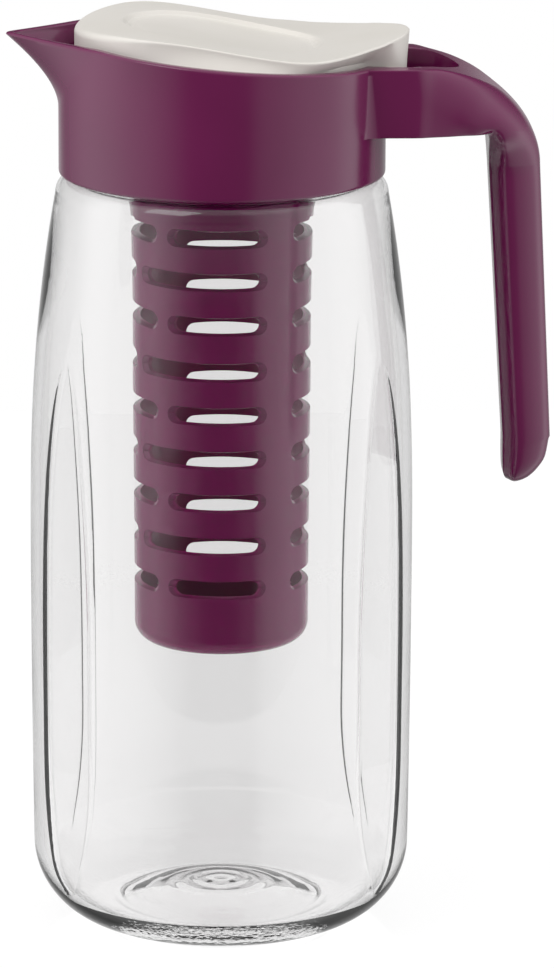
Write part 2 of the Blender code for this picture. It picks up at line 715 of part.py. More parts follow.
def infuser_lugs():
    """The two bayonet lugs, which stand in the groove of the collar's socket."""
    bm = bmesh.new()
    low = SOCKET_BOTTOM + SOCKET_LIP + RUNNING_GAP
    inner = INFUSER_TOP_RADIUS - INFUSER_WALL / 2
    outer = SOCKET_RADIUS + LUG_REACH - RUNNING_GAP
    for i in range(LUG_COUNT):
        centre = RIB_ANGLE - math.pi / 2 + math.tau * i / LUG_COUNT
        sector(inner, outer, low, low + LUG_HEIGHT, centre, LUG_WIDTH, 4, bm)
    return bm


def make_infuser(parent, finish):
    """The slotted basket with its two bayonet lugs."""
    body = turned(infuser_profile(), INFUSER_STEPS, closed=False)
    infuser = mesh_object("infuser_basket", body, parent, finish)
    boolean(infuser, mesh_object("slot_cutter", infuser_slots(), parent), "DIFFERENCE")
    boolean(infuser, mesh_object("lug_form", infuser_lugs(), parent), "UNION")
    return infuser


def lid_top_at(x):
    """Height of the lid's wave: a brow over the spout, a crest, a trough and a raised tail."""
    if x <= -LID_CREST_AHEAD:
        share = (-LID_CREST_AHEAD - x) / (LID_RADIUS - LID_CREST_AHEAD)
        return LID_CREST - LID_BROW_DROP * share**2
    if x <= LID_TROUGH_BACK:
        share = (x + LID_CREST_AHEAD) / (LID_TROUGH_BACK + LID_CREST_AHEAD)
        return between(LID_TROUGH, LID_CREST, (1 + math.cos(share * math.pi)) / 2)
    share = (x - LID_TROUGH_BACK) / (LID_TAIL_END - LID_TROUGH_BACK)
    return LID_TROUGH + LID_TAIL_RISE * share**LID_TAIL_POWER


def dish_depth_at(x, y):
    """Depth of the shallow oval dish in the lid's top."""
    across = math.hypot((x - DISH_BACK) / DISH_HALF_LENGTH, y / DISH_HALF_WIDTH)
    if across >= 1:
        return 0.0
    return DISH_DEPTH * (1 - across**4) ** 2


def mirrored(points):
    """A half outline that starts and ends on the X axis, closed with its mirror image."""
    return points + [(x, -y) for x, y in reversed(points[1:-1])]


def lid_plan():
    """Plan of the lid where it meets the mouth, and of its crease, at the same angles."""
    mouth = []
    crease = []
    tail_power = -1 / TAIL_SQUARE_POWER
    tip = LID_TAIL_END + LID_LIP
    for degrees, flat, follow in LID_CREASE_SHARES:
        cosine = math.cos(math.radians(degrees))
        sine = math.sin(math.radians(degrees))
        along = (abs(cosine) * LID_RADIUS / LID_TAIL_END) ** TAIL_SQUARE_POWER
        across = (sine * LID_RADIUS / TAIL_HALF_WIDTH) ** TAIL_SQUARE_POWER
        tail = (along + across) ** tail_power if cosine > 0 else 0
        radius = LID_RADIUS * (1 + tail**TAIL_SWEEP_POWER) ** (1 / TAIL_SWEEP_POWER)
        mouth.append((radius * cosine, radius * sine))
        radius = LID_RADIUS * (1 - flat) + (tip - LID_RADIUS) * follow
        crease.append((radius * cosine, radius * sine))
    return mirrored(mouth), mirrored(crease)


def drawn_in(outline, inset):
    """A plan outline moved inwards by an even distance."""
    points = []
    count = len(outline)
    for i, (x, y) in enumerate(outline):
        before = Vector(outline[i - 1])
        after = Vector(outline[(i + 1) % count])
        along = (after - before).normalized()
        points.append((x - along.y * inset, y + along.x * inset))
    return points


def scaled(outline, share):
    """A plan outline drawn in to a share of its size."""
    return [(x * share, y * share) for x, y in outline]


def lid_shell():
    """Rings of the lid: over the top, down the side, and back up under the thin shell."""
    mouth, crease = lid_plan()

    def bottom(x):
        if x <= LID_SKIRT_BACK:
            return rim_height_at(max(x, -LID_RADIUS)) - LID_SKIRT_DROP
        if x <= LID_RADIUS:
            return rim_height_at(x) + SEAT_GAP
        return LID_TAIL_BOTTOM

    def top_ring(outline, lowered):
        return [(x, y, lid_top_at(x) - dish_depth_at(x, y) - lowered) for x, y in outline]

    edge = LID_EDGE_ROUND
    under = LID_WALL + edge
    outer = [top_ring(scaled(crease, share), 0) for share in LID_RING_SHARES]
    for inset, drop in LID_EDGE_SHARES:
        outer.append(top_ring(drawn_in(crease, edge * inset), edge * drop))
    outer.append([(x, y, rim_height_at(x) + SEAT_GAP + edge) for x, y in mouth])
    outer.append([(x, y, bottom(x)) for x, y in mouth])
    inside = drawn_in(mouth, LID_WALL)
    narrow = []
    for (mouth_x, mouth_y), (crease_x, crease_y) in zip(inside, drawn_in(crease, under)):
        nearer = math.hypot(mouth_x, mouth_y) < math.hypot(crease_x, crease_y)
        narrow.append((mouth_x, mouth_y) if nearer else (crease_x, crease_y))
    inner = [[(x, y, bottom(x)) for x, y in inside], top_ring(narrow, under)]
    for share in reversed(LID_RING_SHARES):
        inner.append(top_ring(scaled(narrow, share), LID_WALL))
    return outer + inner


def pivot_bars(radius, near, far):
    """A pair of round bars on the lid's pivot, one on each side."""
    bm = bmesh.new()
    for side in (-1, 1):
        bar_along_y(PIVOT_X, PIVOT_Z, radius, side * near, side * far, bm)
    return bm


def make_lid(parent, finish):
    """The rocking lid with its bosses and trunnions, hung on the pivot."""
    pivot = (PIVOT_X, 0, PIVOT_Z)
    lid = mesh_object("lid", lofted(lid_shell()), parent, finish, pivot)
    bosses = pivot_bars(BOSS_RADIUS, TAIL_HALF_WIDTH - BOSS_LENGTH, TAIL_HALF_WIDTH)
    boolean(lid, mesh_object("boss_form", bosses, parent), "UNION")
    tip = TAIL_HALF_WIDTH + TRUNNION_LENGTH
    trunnions = pivot_bars(TRUNNION_RADIUS, TAIL_HALF_WIDTH - BOSS_LENGTH / 2, tip)
    boolean(lid, mesh_object("trunnion_form", trunnions, parent), "UNION")
    return lid


def main():
    """Build the jug."""
    for existing in list(bpy.data.objects):
        bpy.data.objects.remove(existing)
    jug_axis = empty("jug_axis", None, (AXIS_X, 0, 0))
    glass = material("clear_glass", (0.93, 0.95, 0.95), 0.02, transmission=1.0)
    plum = material("plum_plastic", (0.13, 0.02, 0.06), 0.25)
    white = material("warm_white_plastic", (0.78, 0.76, 0.73), 0.35)
    silicone = material("clear_silicone", (0.82, 0.82, 0.80), 0.5)
    make_glass(jug_axis, glass)
    make_gasket(jug_axis, silicone)
    make_collar(jug_axis, plum)
    make_infuser(jug_axis, plum)
    make_lid(jug_axis, white)


main()
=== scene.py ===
"""Looks of the fruit infuser jug: its glass, its plum mouldings, its white lid and the studio."""

import logging
import math
from dataclasses import dataclass
from enum import Enum
from typing import Iterable, Optional, Sequence

import bmesh
import bpy
from mathutils import Matrix, Vector
from mathutils.kdtree import KDTree


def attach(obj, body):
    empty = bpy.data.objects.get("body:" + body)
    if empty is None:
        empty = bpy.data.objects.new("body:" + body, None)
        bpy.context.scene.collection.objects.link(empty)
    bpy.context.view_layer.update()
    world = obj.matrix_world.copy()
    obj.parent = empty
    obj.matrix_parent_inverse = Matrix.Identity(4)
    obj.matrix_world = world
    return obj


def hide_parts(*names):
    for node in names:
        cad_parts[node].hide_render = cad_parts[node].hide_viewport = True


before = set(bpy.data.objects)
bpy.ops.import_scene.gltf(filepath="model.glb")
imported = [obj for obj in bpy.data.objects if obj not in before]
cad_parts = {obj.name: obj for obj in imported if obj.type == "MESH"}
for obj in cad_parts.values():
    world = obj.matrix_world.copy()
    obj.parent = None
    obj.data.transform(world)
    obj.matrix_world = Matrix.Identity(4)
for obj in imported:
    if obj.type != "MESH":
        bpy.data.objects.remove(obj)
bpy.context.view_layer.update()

LOG = logging.getLogger("jug")

Point = tuple[float, float, float]
Ring = list[Point]
Outline = list[tuple[float, float]]
Profile = list[tuple[float, float]]
Colour = tuple[float, float, float, float]

AXIS_X = -0.0164
MERGE = 1e-6
SMOOTH_ANGLE = math.radians(38.0)
OVERRUN = 0.020


# Small helpers on numbers and outlines


def between(start: float, end: float, share: float) -> float:
    """Return the value a share of the way from start to end."""
    return start + (end - start) * share


def eased(share: float) -> float:
    """Return a share held between 0 and 1, with a soft start and end."""
    held = min(1.0, max(0.0, share))
    return held * held * (3 - 2 * held)


def arc(
    centre_r: float, centre_z: float, radius: float, start: float, end: float, steps: int
) -> Profile:
    """Lay out an arc in the profile plane.

    Args:
        centre_r: Distance of the arc's centre from the jug's axis.
        centre_z: Height of the arc's centre.
        radius: Radius of the arc.
        start: First angle in degrees, from the outward direction.
        end: Last angle in degrees.
        steps: Number of chords.

    Returns:
        The points of the arc as (radius, height).
    """
    points = []
    for i in range(steps + 1):
        angle = math.radians(between(start, end, i / steps))
        points.append((centre_r + radius * math.cos(angle), centre_z + radius * math.sin(angle)))
    return points


def drawn_in(outline: Outline, inset: float) -> Outline:
    """Move a plan outline inwards.

    Args:
        outline: Points that run anticlockwise.
        inset: Even distance to move each point along its normal.

    Returns:
        The moved outline.
    """
    moved = []
    count = len(outline)
    for i, (x, y) in enumerate(outline):
        along = Vector(outline[(i + 1) % count]) - Vector(outline[i - 1])
        along.normalize()
        moved.append((x - along.y * inset, y + along.x * inset))
    return moved


def flowing(table: Sequence[Sequence[float]], at: float) -> list[float]:
    """Read a table of shares along a smooth line that never overshoots its rows.

    Args:
        table: Rows that start with their place along the line.
        at: Place to read.

    Returns:
        The values at that place.
    """
    keys = [row[0] for row in table]
    low = max(i for i, key in enumerate(keys[:-1]) if key <= at or i == 0)
    gap = keys[low + 1] - keys[low]
    share = (at - keys[low]) / gap
    values = []
    for column in range(1, len(table[0])):
        slopes = []
        for i in (low, low + 1):
            if i == 0 or i == len(table) - 1:
                near = (low, low + 1)
                slopes.append((table[near[1]][column] - table[near[0]][column]) / gap)
                continue
            before = (table[i][column] - table[i - 1][column]) / (keys[i] - keys[i - 1])
            after = (table[i + 1][column] - table[i][column]) / (keys[i + 1] - keys[i])
            slopes.append(2 * before * after / (before + after) if before * after > 0 else 0.0)
        start, end = table[low][column], table[low + 1][column]
        square, cube = share**2, share**3
        values.append(
            start * (2 * cube - 3 * square + 1)
            + slopes[0] * gap * (cube - 2 * square + share)
            + end * (3 * square - 2 * cube)
            + slopes[1] * gap * (cube - square)
        )
    return values


def level_ring(outline: Outline, z: float) -> Ring:
    """Return a plan outline lifted to one height."""
    return [(x, y, z) for x, y in outline]


def circle(radius: float, steps: int) -> Outline:
    """Return a circle about the jug's axis, anticlockwise from the handle's side."""
    turns = [math.tau * i / steps for i in range(steps)]
    return [(radius * math.cos(turn), radius * math.sin(turn)) for turn in turns]


def scaled(outline: Outline, share: float) -> Outline:
    """Return a plan outline shrunk about the axis."""
    return [(x * share, y * share) for x, y in outline]


def mixed(start: Sequence[tuple], end: Sequence[tuple], shares: Sequence[float]) -> list[tuple]:
    """Mix two rings or outlines point by point.

    Args:
        start: The first ring.
        end: The second ring, of the same length.
        shares: How far each point goes from the first to the second.

    Returns:
        The mixed ring.
    """
    return [
        tuple(between(a, b, share) for a, b in zip(first, second))
        for first, second, share in zip(start, end, shares)
    ]


# The bench: work by hand with Blender's tools


class Cut(Enum):
    """What a tool does to the piece it meets."""

    AWAY = "DIFFERENCE"
    JOIN = "UNION"


class Bench:
    """Edit-mode work on one new mesh at a time, as done by hand."""

    @staticmethod
    def clear() -> None:
        """Leave nothing selected."""
        bpy.ops.object.select_all(action="DESELECT")

    @staticmethod
    def pick(piece: bpy.types.Object) -> None:
        """Select one piece alone and make it active.

        Args:
            piece: The piece to work on.
        """
        Bench.clear()
        piece.select_set(True)
        bpy.context.view_layer.objects.active = piece

    @staticmethod
    def close_work() -> None:
        """Merge doubles, turn all faces outwards and leave edit mode."""
        bpy.ops.mesh.select_all(action="SELECT")
        bpy.ops.mesh.remove_doubles(threshold=MERGE)
        bpy.ops.mesh.dissolve_degenerate(threshold=MERGE)
        bpy.ops.mesh.normals_make_consistent(inside=False)
        bpy.ops.object.mode_set(mode="OBJECT")

    @staticmethod
    def lathe(name: str, profile: Profile, steps: int) -> bpy.types.Object:
        """Draw a profile point by point and spin it about the jug's axis.

        Args:
            name: Name of the new piece.
            profile: Points as (radius, height); it ends where it starts, or on the axis.
            steps: Number of steps of the spin.

        Returns:
            The closed piece.
        """
        Bench.clear()
        first_r, first_z = profile[0]
        bpy.ops.mesh.primitive_plane_add(size=OVERRUN, location=(first_r, 0, first_z))
        piece = bpy.context.object
        piece.name = name
        bpy.ops.object.transform_apply(location=True, rotation=False, scale=False)
        bpy.ops.object.mode_set(mode="EDIT")
        bpy.ops.mesh.select_all(action="SELECT")
        bpy.ops.mesh.merge(type="CENTER")
        for (r, z), (next_r, next_z) in zip(profile, profile[1:]):
            step = (next_r - r, 0, next_z - z)
            bpy.ops.mesh.extrude_region_move(TRANSFORM_OT_translate={"value": step})
        bpy.ops.mesh.select_all(action="SELECT")
        bpy.ops.mesh.spin(steps=steps, angle=math.tau, center=(0, 0, 0), axis=(0, 0, 1))
        Bench.close_work()
        return piece

    @staticmethod
    def _fit_loop(mesh: bpy.types.Mesh, here: Ring, there: Ring) -> None:
        """Move the selected loop, which lies on one ring, onto the next ring.

        Args:
            mesh: The mesh, in edit mode.
            here: The ring that the loop lies on.
            there: The ring that it goes to, point for point.
        """
        tree = KDTree(len(here))
        for i, point in enumerate(here):
            tree.insert(point, i)
        tree.balance()
        work = bmesh.from_edit_mesh(mesh)
        for vert in work.verts:
            if vert.select:
                vert.co = there[tree.find(vert.co)[1]]
        bmesh.update_edit_mesh(mesh)

    @staticmethod
    def skin(name: str, rings: Sequence[Ring], looped: bool = False) -> bpy.types.Object:
        """Draw out a loop of edges through a row of rings.

        Args:
            name: Name of the new piece.
            rings: Rings of equal length, in order along the piece.
            looped: Whether the last ring runs back to the first, with no caps.

        Returns:
            The closed piece.
        """
        Bench.clear()
        count = len(rings[0])
        fill = "NOTHING" if looped else "NGON"
        bpy.ops.mesh.primitive_circle_add(vertices=count, radius=1.0, fill_type=fill)
        piece = bpy.context.object
        piece.name = name
        for vert, point in zip(piece.data.vertices, rings[0]):
            vert.co = point
        bpy.ops.object.mode_set(mode="EDIT")
        bpy.ops.mesh.select_all(action="SELECT")
        bpy.ops.mesh.select_mode(type="EDGE")
        if not looped:
            bpy.ops.mesh.select_mode(type="VERT")
        rows = list(rings[1:]) + ([rings[0]] if looped else [])
        here = rings[0]
        for there in rows:
            bpy.ops.mesh.extrude_edges_move()
            Bench._fit_loop(piece.data, here, there)
            here = there
        if not looped:
            bpy.ops.mesh.edge_face_add()
        Bench.close_work()
        return piece

    @staticmethod
    def carve(piece: bpy.types.Object, tool: bpy.types.Object, cut: Cut) -> None:
        """Cut a piece with a tool, or join the tool to it, and take the tool away.

        Args:
            piece: The piece that stays.
            tool: The closed mesh that is used up.
            cut: What the tool does.
        """
        Bench.pick(piece)
        modifier = piece.modifiers.new(tool.name, "BOOLEAN")
        modifier.operation = cut.value
        modifier.solver = "EXACT"
        modifier.object = tool
        bpy.ops.object.modifier_apply(modifier=modifier.name)
        bpy.data.objects.remove(tool)

    @staticmethod
    def settle(piece: bpy.types.Object, angle: float = SMOOTH_ANGLE) -> None:
        """Move a piece from the jug's own axis to the frame, and smooth its shading.

        Args:
            piece: The finished piece, drawn about the jug's axis.
            angle: Edges sharper than this stay crisp.
        """
        Bench.pick(piece)
        bpy.ops.transform.translate(value=(AXIS_X, 0, 0))
        bpy.ops.object.transform_apply(location=True, rotation=True, scale=True)
        bpy.ops.object.shade_smooth_by_angle(angle=angle)


# Shader maths


class Shade:
    """A socket of a material, on which Python's operators add Math nodes."""

    def __init__(self, book: "ShaderBook", socket: bpy.types.NodeSocket) -> None:
        """Wrap a socket of a node book."""
        self.book = book
        self.socket = socket

    def _math(self, operation: str, first: object, second: object) -> "Shade":
        """Add a Math node on two values or sockets."""
        return self.book.node("ShaderNodeMath", {"operation": operation}, {0: first, 1: second})

    def __add__(self, other: object) -> "Shade":
        """Return the sum."""
        return self._math("ADD", self, other)

    def __sub__(self, other: object) -> "Shade":
        """Return the difference."""
        return self._math("SUBTRACT", self, other)

    def __rsub__(self, other: object) -> "Shade":
        """Return the difference from a number."""
        return self._math("SUBTRACT", other, self)

    def __mul__(self, other: object) -> "Shade":
        """Return the product."""
        return self._math("MULTIPLY", self, other)

    def __truediv__(self, other: object) -> "Shade":
        """Return the quotient."""
        return self._math("DIVIDE", self, other)

    def __rtruediv__(self, other: object) -> "Shade":
        """Return the quotient of a number by this."""
        return self._math("DIVIDE", other, self)

    def __pow__(self, other: object) -> "Shade":
        """Return the power."""
        return self._math("POWER", self, other)

    def __rpow__(self, other: object) -> "Shade":
        """Return a number to the power of this."""
        return self._math("POWER", other, self)

    def step_up(self, start: float, end: float) -> "Shade":
        """Add a soft step that rises from 0 to 1.

        Args:
            start: Value at which it starts to rise.
            end: Value at which it reaches 1.

        Returns:
            The step.
        """
        settings = {"interpolation_type": "SMOOTHSTEP", "clamp": True}
        places = {"Value": self, "From Min": start, "From Max": end}
        return self.book.node("ShaderNodeMapRange", settings, places)

    __radd__ = __add__
    __rmul__ = __mul__


class ShaderBook:
    """The node tree of one material or world."""

    def __init__(self, owner: bpy.types.ID) -> None:
        """Clear the owner's node tree and open it.

        Args:
            owner: A material or a world.
        """
        owner.use_nodes = True
        self.tree = owner.node_tree
        self.tree.nodes.clear()

    def node(
        self,
        kind: str,
        settings: Optional[dict] = None,
        values: Optional[dict] = None,
        output: object = 0,
    ) -> Shade:
        """Add a node.

        Args:
            kind: Type of the node.
            settings: Its properties, and the stops of a ramp, which are set first.
            values: Numbers, colours or links for its sockets, by name or number.
            output: The output that is handed back, by name or number.

        Returns:
            That output.
        """
        made = self.tree.nodes.new(kind)
        for key, value in (settings or {}).items():
            if key == "stops":
                ramp = made.color_ramp
                for i, (place, colour) in enumerate(value):
                    stop = ramp.elements[i] if i < 2 else ramp.elements.new(place)
                    stop.position = place
                    stop.color = (*colour, 1.0)
            else:
                setattr(made, key, value)
        for key, value in (values or {}).items():
            if isinstance(value, Shade):
                self.tree.links.new(value.socket, made.inputs[key])
            else:
                made.inputs[key].default_value = value
        return Shade(self, made.outputs[output] if len(made.outputs) else None)

    def place(self) -> Shade:
        """Return the Object coordinates."""
        return self.node("ShaderNodeTexCoord", output="Object")

    def parts(self, vector: Shade) -> tuple[Shade, Shade, Shade]:
        """Split a vector.

        Args:
            vector: The vector.

        Returns:
            Its x, y and z.
        """
        whole = self.node("ShaderNodeSeparateXYZ", None, {0: vector})
        outputs = whole.socket.node.outputs
        return Shade(self, outputs[0]), Shade(self, outputs[1]), Shade(self, outputs[2])

    def noise(self, scale: float, detail: float, roughness: float = 0.5) -> Shade:
        """Add a noise on Object coordinates.

        Args:
            scale: Waves per metre.
            detail: Number of finer layers.
            roughness: Strength of the finer layers.

        Returns:
            The noise, about 0.5.
        """
        values = {"Vector": self.place(), "Scale": scale, "Detail": detail, "Roughness": roughness}
        return self.node("ShaderNodeTexNoise", None, values)

    def blend(self, share: object, first: object, second: object) -> Shade:
        """Mix two colours by a share."""
        return self.node("ShaderNodeMix", {"data_type": "RGBA"}, {0: share, 6: first, 7: second}, 2)

    def raised(self, height: Shade, distance: float, strength: float = 1.0) -> Shade:
        """Turn a height in whole shares of a distance into a bumped normal."""
        values = {"Strength": strength, "Distance": distance, "Height": height}
        return self.node("ShaderNodeBump", None, values)

    def surface(self, values: dict) -> None:
        """Send a Principled shader with these values to the material's output."""
        shader = self.node("ShaderNodeBsdfPrincipled", None, values)
        self.node("ShaderNodeOutputMaterial", None, {"Surface": shader})


def rgb(red: float, green: float, blue: float) -> Colour:
    """Turn display values into the colour that a shader takes.

    Args:
        red: Red between 0 and 255.
        green: Green between 0 and 255.
        blue: Blue between 0 and 255.

    Returns:
        The linear colour, opaque.
    """
    parts = []
    for value in (red, green, blue):
        share = value / 255
        parts.append(share / 12.92 if share <= 0.04045 else ((share + 0.055) / 1.055) ** 2.4)
    return (*parts, 1.0)


# Finishes


@dataclass(frozen=True)
class GlossPlastic:
    """Deep glossy injection-moulded plastic with a faint moulded ripple."""

    name: str = "plum_gloss"
    deep: Colour = rgb(98, 19, 69)
    light: Colour = rgb(103, 21, 73)
    gleam: float = 0.5
    # Painted light: a brighter colour for the inside of a tube, where the inside lies in shade.
    inner: Optional[Colour] = None
    painted_light_radius: float = 0.0243
    painted_light_from: float = 0.0869
    painted_light_fade: float = 0.0008
    painted_light_rise: float = 0.0006
    flow_scale: float = 22.0
    grain_scale: float = 900.0
    ripple_scale: float = 140.0
    ripple: float = 0.00003
    ripple_strength: float = 0.35
    roughness: float = 0.20
    flow_roughness: float = 0.05
    grain_roughness: float = 0.03
    refraction: float = 1.5

    def make(self) -> bpy.types.Material:
        """Build the material.

        Returns:
            The material, with a brighter colour painted inside a tube where one is set, as painted
            light on the tube's shaded inside.
        """
        made = bpy.data.materials.new(self.name)
        book = ShaderBook(made)
        flow = book.noise(self.flow_scale, 2.0)
        grain = book.noise(self.grain_scale, 2.0)
        colour = book.blend(flow.step_up(0.35, 0.65), self.deep, self.light)
        # Painted light: the tube's inside, which lies in shade, is painted brighter.
        if self.inner:
            x, y, z = book.parts(book.place())
            across = ((x - AXIS_X) ** 2 + y**2) ** 0.5
            outside = across.step_up(self.painted_light_radius, self.painted_light_radius + self.painted_light_fade)
            above = z.step_up(self.painted_light_from, self.painted_light_from + self.painted_light_rise)
            colour = book.blend((1 - outside) * above, colour, self.inner)
        rough = self.roughness + (flow - 0.5) * self.flow_roughness
        rough = rough + (grain - 0.5) * self.grain_roughness
        ripple = book.noise(self.ripple_scale, 1.0)
        book.surface(
            {
                "Base Color": colour,
                "Roughness": rough,
                "Normal": book.raised(ripple, self.ripple, self.ripple_strength),
                "IOR": self.refraction,
                "Specular IOR Level": self.gleam,
            }
        )
        return made


@dataclass(frozen=True)
class SatinPlastic:
    """Warm white plastic with a satin, finely eroded skin."""

    name: str = "warm_white_satin"
    base: Colour = rgb(221, 217, 211)
    shade: Colour = rgb(217, 213, 206)
    flow_scale: float = 30.0
    grain_scale: float = 2600.0
    grain: float = 0.00002
    grain_strength: float = 0.4
    roughness: float = 0.38
    flow_roughness: float = 0.06
    grain_roughness: float = 0.05
    refraction: float = 1.46

    def make(self) -> bpy.types.Material:
        """Build the material.

        Returns:
            The material.
        """
        made = bpy.data.materials.new(self.name)
        book = ShaderBook(made)
        flow = book.noise(self.flow_scale, 2.0)
        fine = book.noise(self.grain_scale, 2.0, 0.6)
        rough = self.roughness + (flow - 0.5) * self.flow_roughness
        book.surface(
            {
                "Base Color": book.blend(flow.step_up(0.3, 0.7), self.base, self.shade),
                "Roughness": rough + (fine - 0.5) * self.grain_roughness,
                "Normal": book.raised(fine, self.grain, self.grain_strength),
                "IOR": self.refraction,
            }
        )
        return made


@dataclass(frozen=True)
class ClearGlass:
    """Pressed clear glass, faintly wavy, with a stippled ring round its heel."""

    name: str = "clear_glass"
    tint: Colour = (0.925, 0.920, 0.921, 1.0)
    pale: Colour = (0.935, 0.931, 0.931, 1.0)
    tint_scale: float = 40.0
    gleam: float = 0.06
    refraction: float = 1.5
    wave: float = 0.00005
    wave_scale: float = 28.0
    polish_scale: float = 60.0
    polish: float = 0.004
    stipple_size: float = 620.0
    stipple_depth: float = 0.00006
    ring_low: float = 0.0005
    ring_low_fade: float = 0.0006
    ring_high: float = 0.0060
    ring_high_fade: float = 0.0015
    ring_radius: float = 0.034
    ring_radius_fade: float = 0.002

    def make(self) -> bpy.types.Material:
        """Build the material.

        Returns:
            The material.
        """
        made = bpy.data.materials.new(self.name)
        book = ShaderBook(made)
        x, y, z = book.parts(book.place())
        across = ((x - AXIS_X) ** 2 + y**2) ** 0.5
        wave = book.noise(self.wave_scale, 1.0)
        values = {"Vector": book.place(), "Scale": self.stipple_size}
        dots = book.node("ShaderNodeTexVoronoi", {"feature": "F1"}, values)
        above = z.step_up(self.ring_low, self.ring_low + self.ring_low_fade)
        beyond = z.step_up(self.ring_high, self.ring_high + self.ring_high_fade)
        outward = across.step_up(self.ring_radius, self.ring_radius + self.ring_radius_fade)
        band = above * (1 - beyond) * outward
        height = wave + (1 - dots) * band * (self.stipple_depth / self.wave)
        book.surface(
            {
                "Base Color": book.blend(book.noise(self.tint_scale, 1.0), self.tint, self.pale),
                "Roughness": book.noise(self.polish_scale, 1.0) * self.polish,
                "Normal": book.raised(height, self.wave),
                "IOR": self.refraction,
                "Specular IOR Level": self.gleam,
                "Transmission Weight": 1.0,
            }
        )
        return made


@dataclass(frozen=True)
class SoftSilicone:
    """Milky moulded silicone with a dusty sheen."""

    name: str = "milky_silicone"
    base: Colour = rgb(226, 225, 220)
    dusty: Colour = rgb(214, 213, 209)
    dust_scale: float = 700.0
    dust_depth: float = 0.00002
    dust_strength: float = 0.3
    roughness: float = 0.55
    dust_roughness: float = 0.1
    sheen: float = 0.2

    def make(self) -> bpy.types.Material:
        """Build the material.

        Returns:
            The material.
        """
        made = bpy.data.materials.new(self.name)
        book = ShaderBook(made)
        dust = book.noise(self.dust_scale, 3.0)
        book.surface(
            {
                "Base Color": book.blend(dust.step_up(0.3, 0.8), self.base, self.dusty),
                "Roughness": self.roughness + (dust - 0.5) * self.dust_roughness,
                "Normal": book.raised(dust, self.dust_depth, self.dust_strength),
                "Sheen Weight": self.sheen,
            }
        )
        return made


class SubAssembly:
    """What every sub-assembly of the jug shares: its place in the frame and its dressing."""

    body = ""
    slot = ""
    node = ""

    def dress(self, piece: bpy.types.Object, finish: bpy.types.Material) -> None:
        """Give the piece its finish and its place on the jug.

        Args:
            piece: The finished piece.
            finish: Its material.
        """
        piece.data.materials.clear()
        piece.data.materials.append(finish)
        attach(piece, self.body)
        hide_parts(self.node)
        count = sum(len(face.vertices) - 2 for face in piece.data.polygons)
        LOG.info("%s: %d triangles on body %s", piece.name, count, self.body)


# The glass


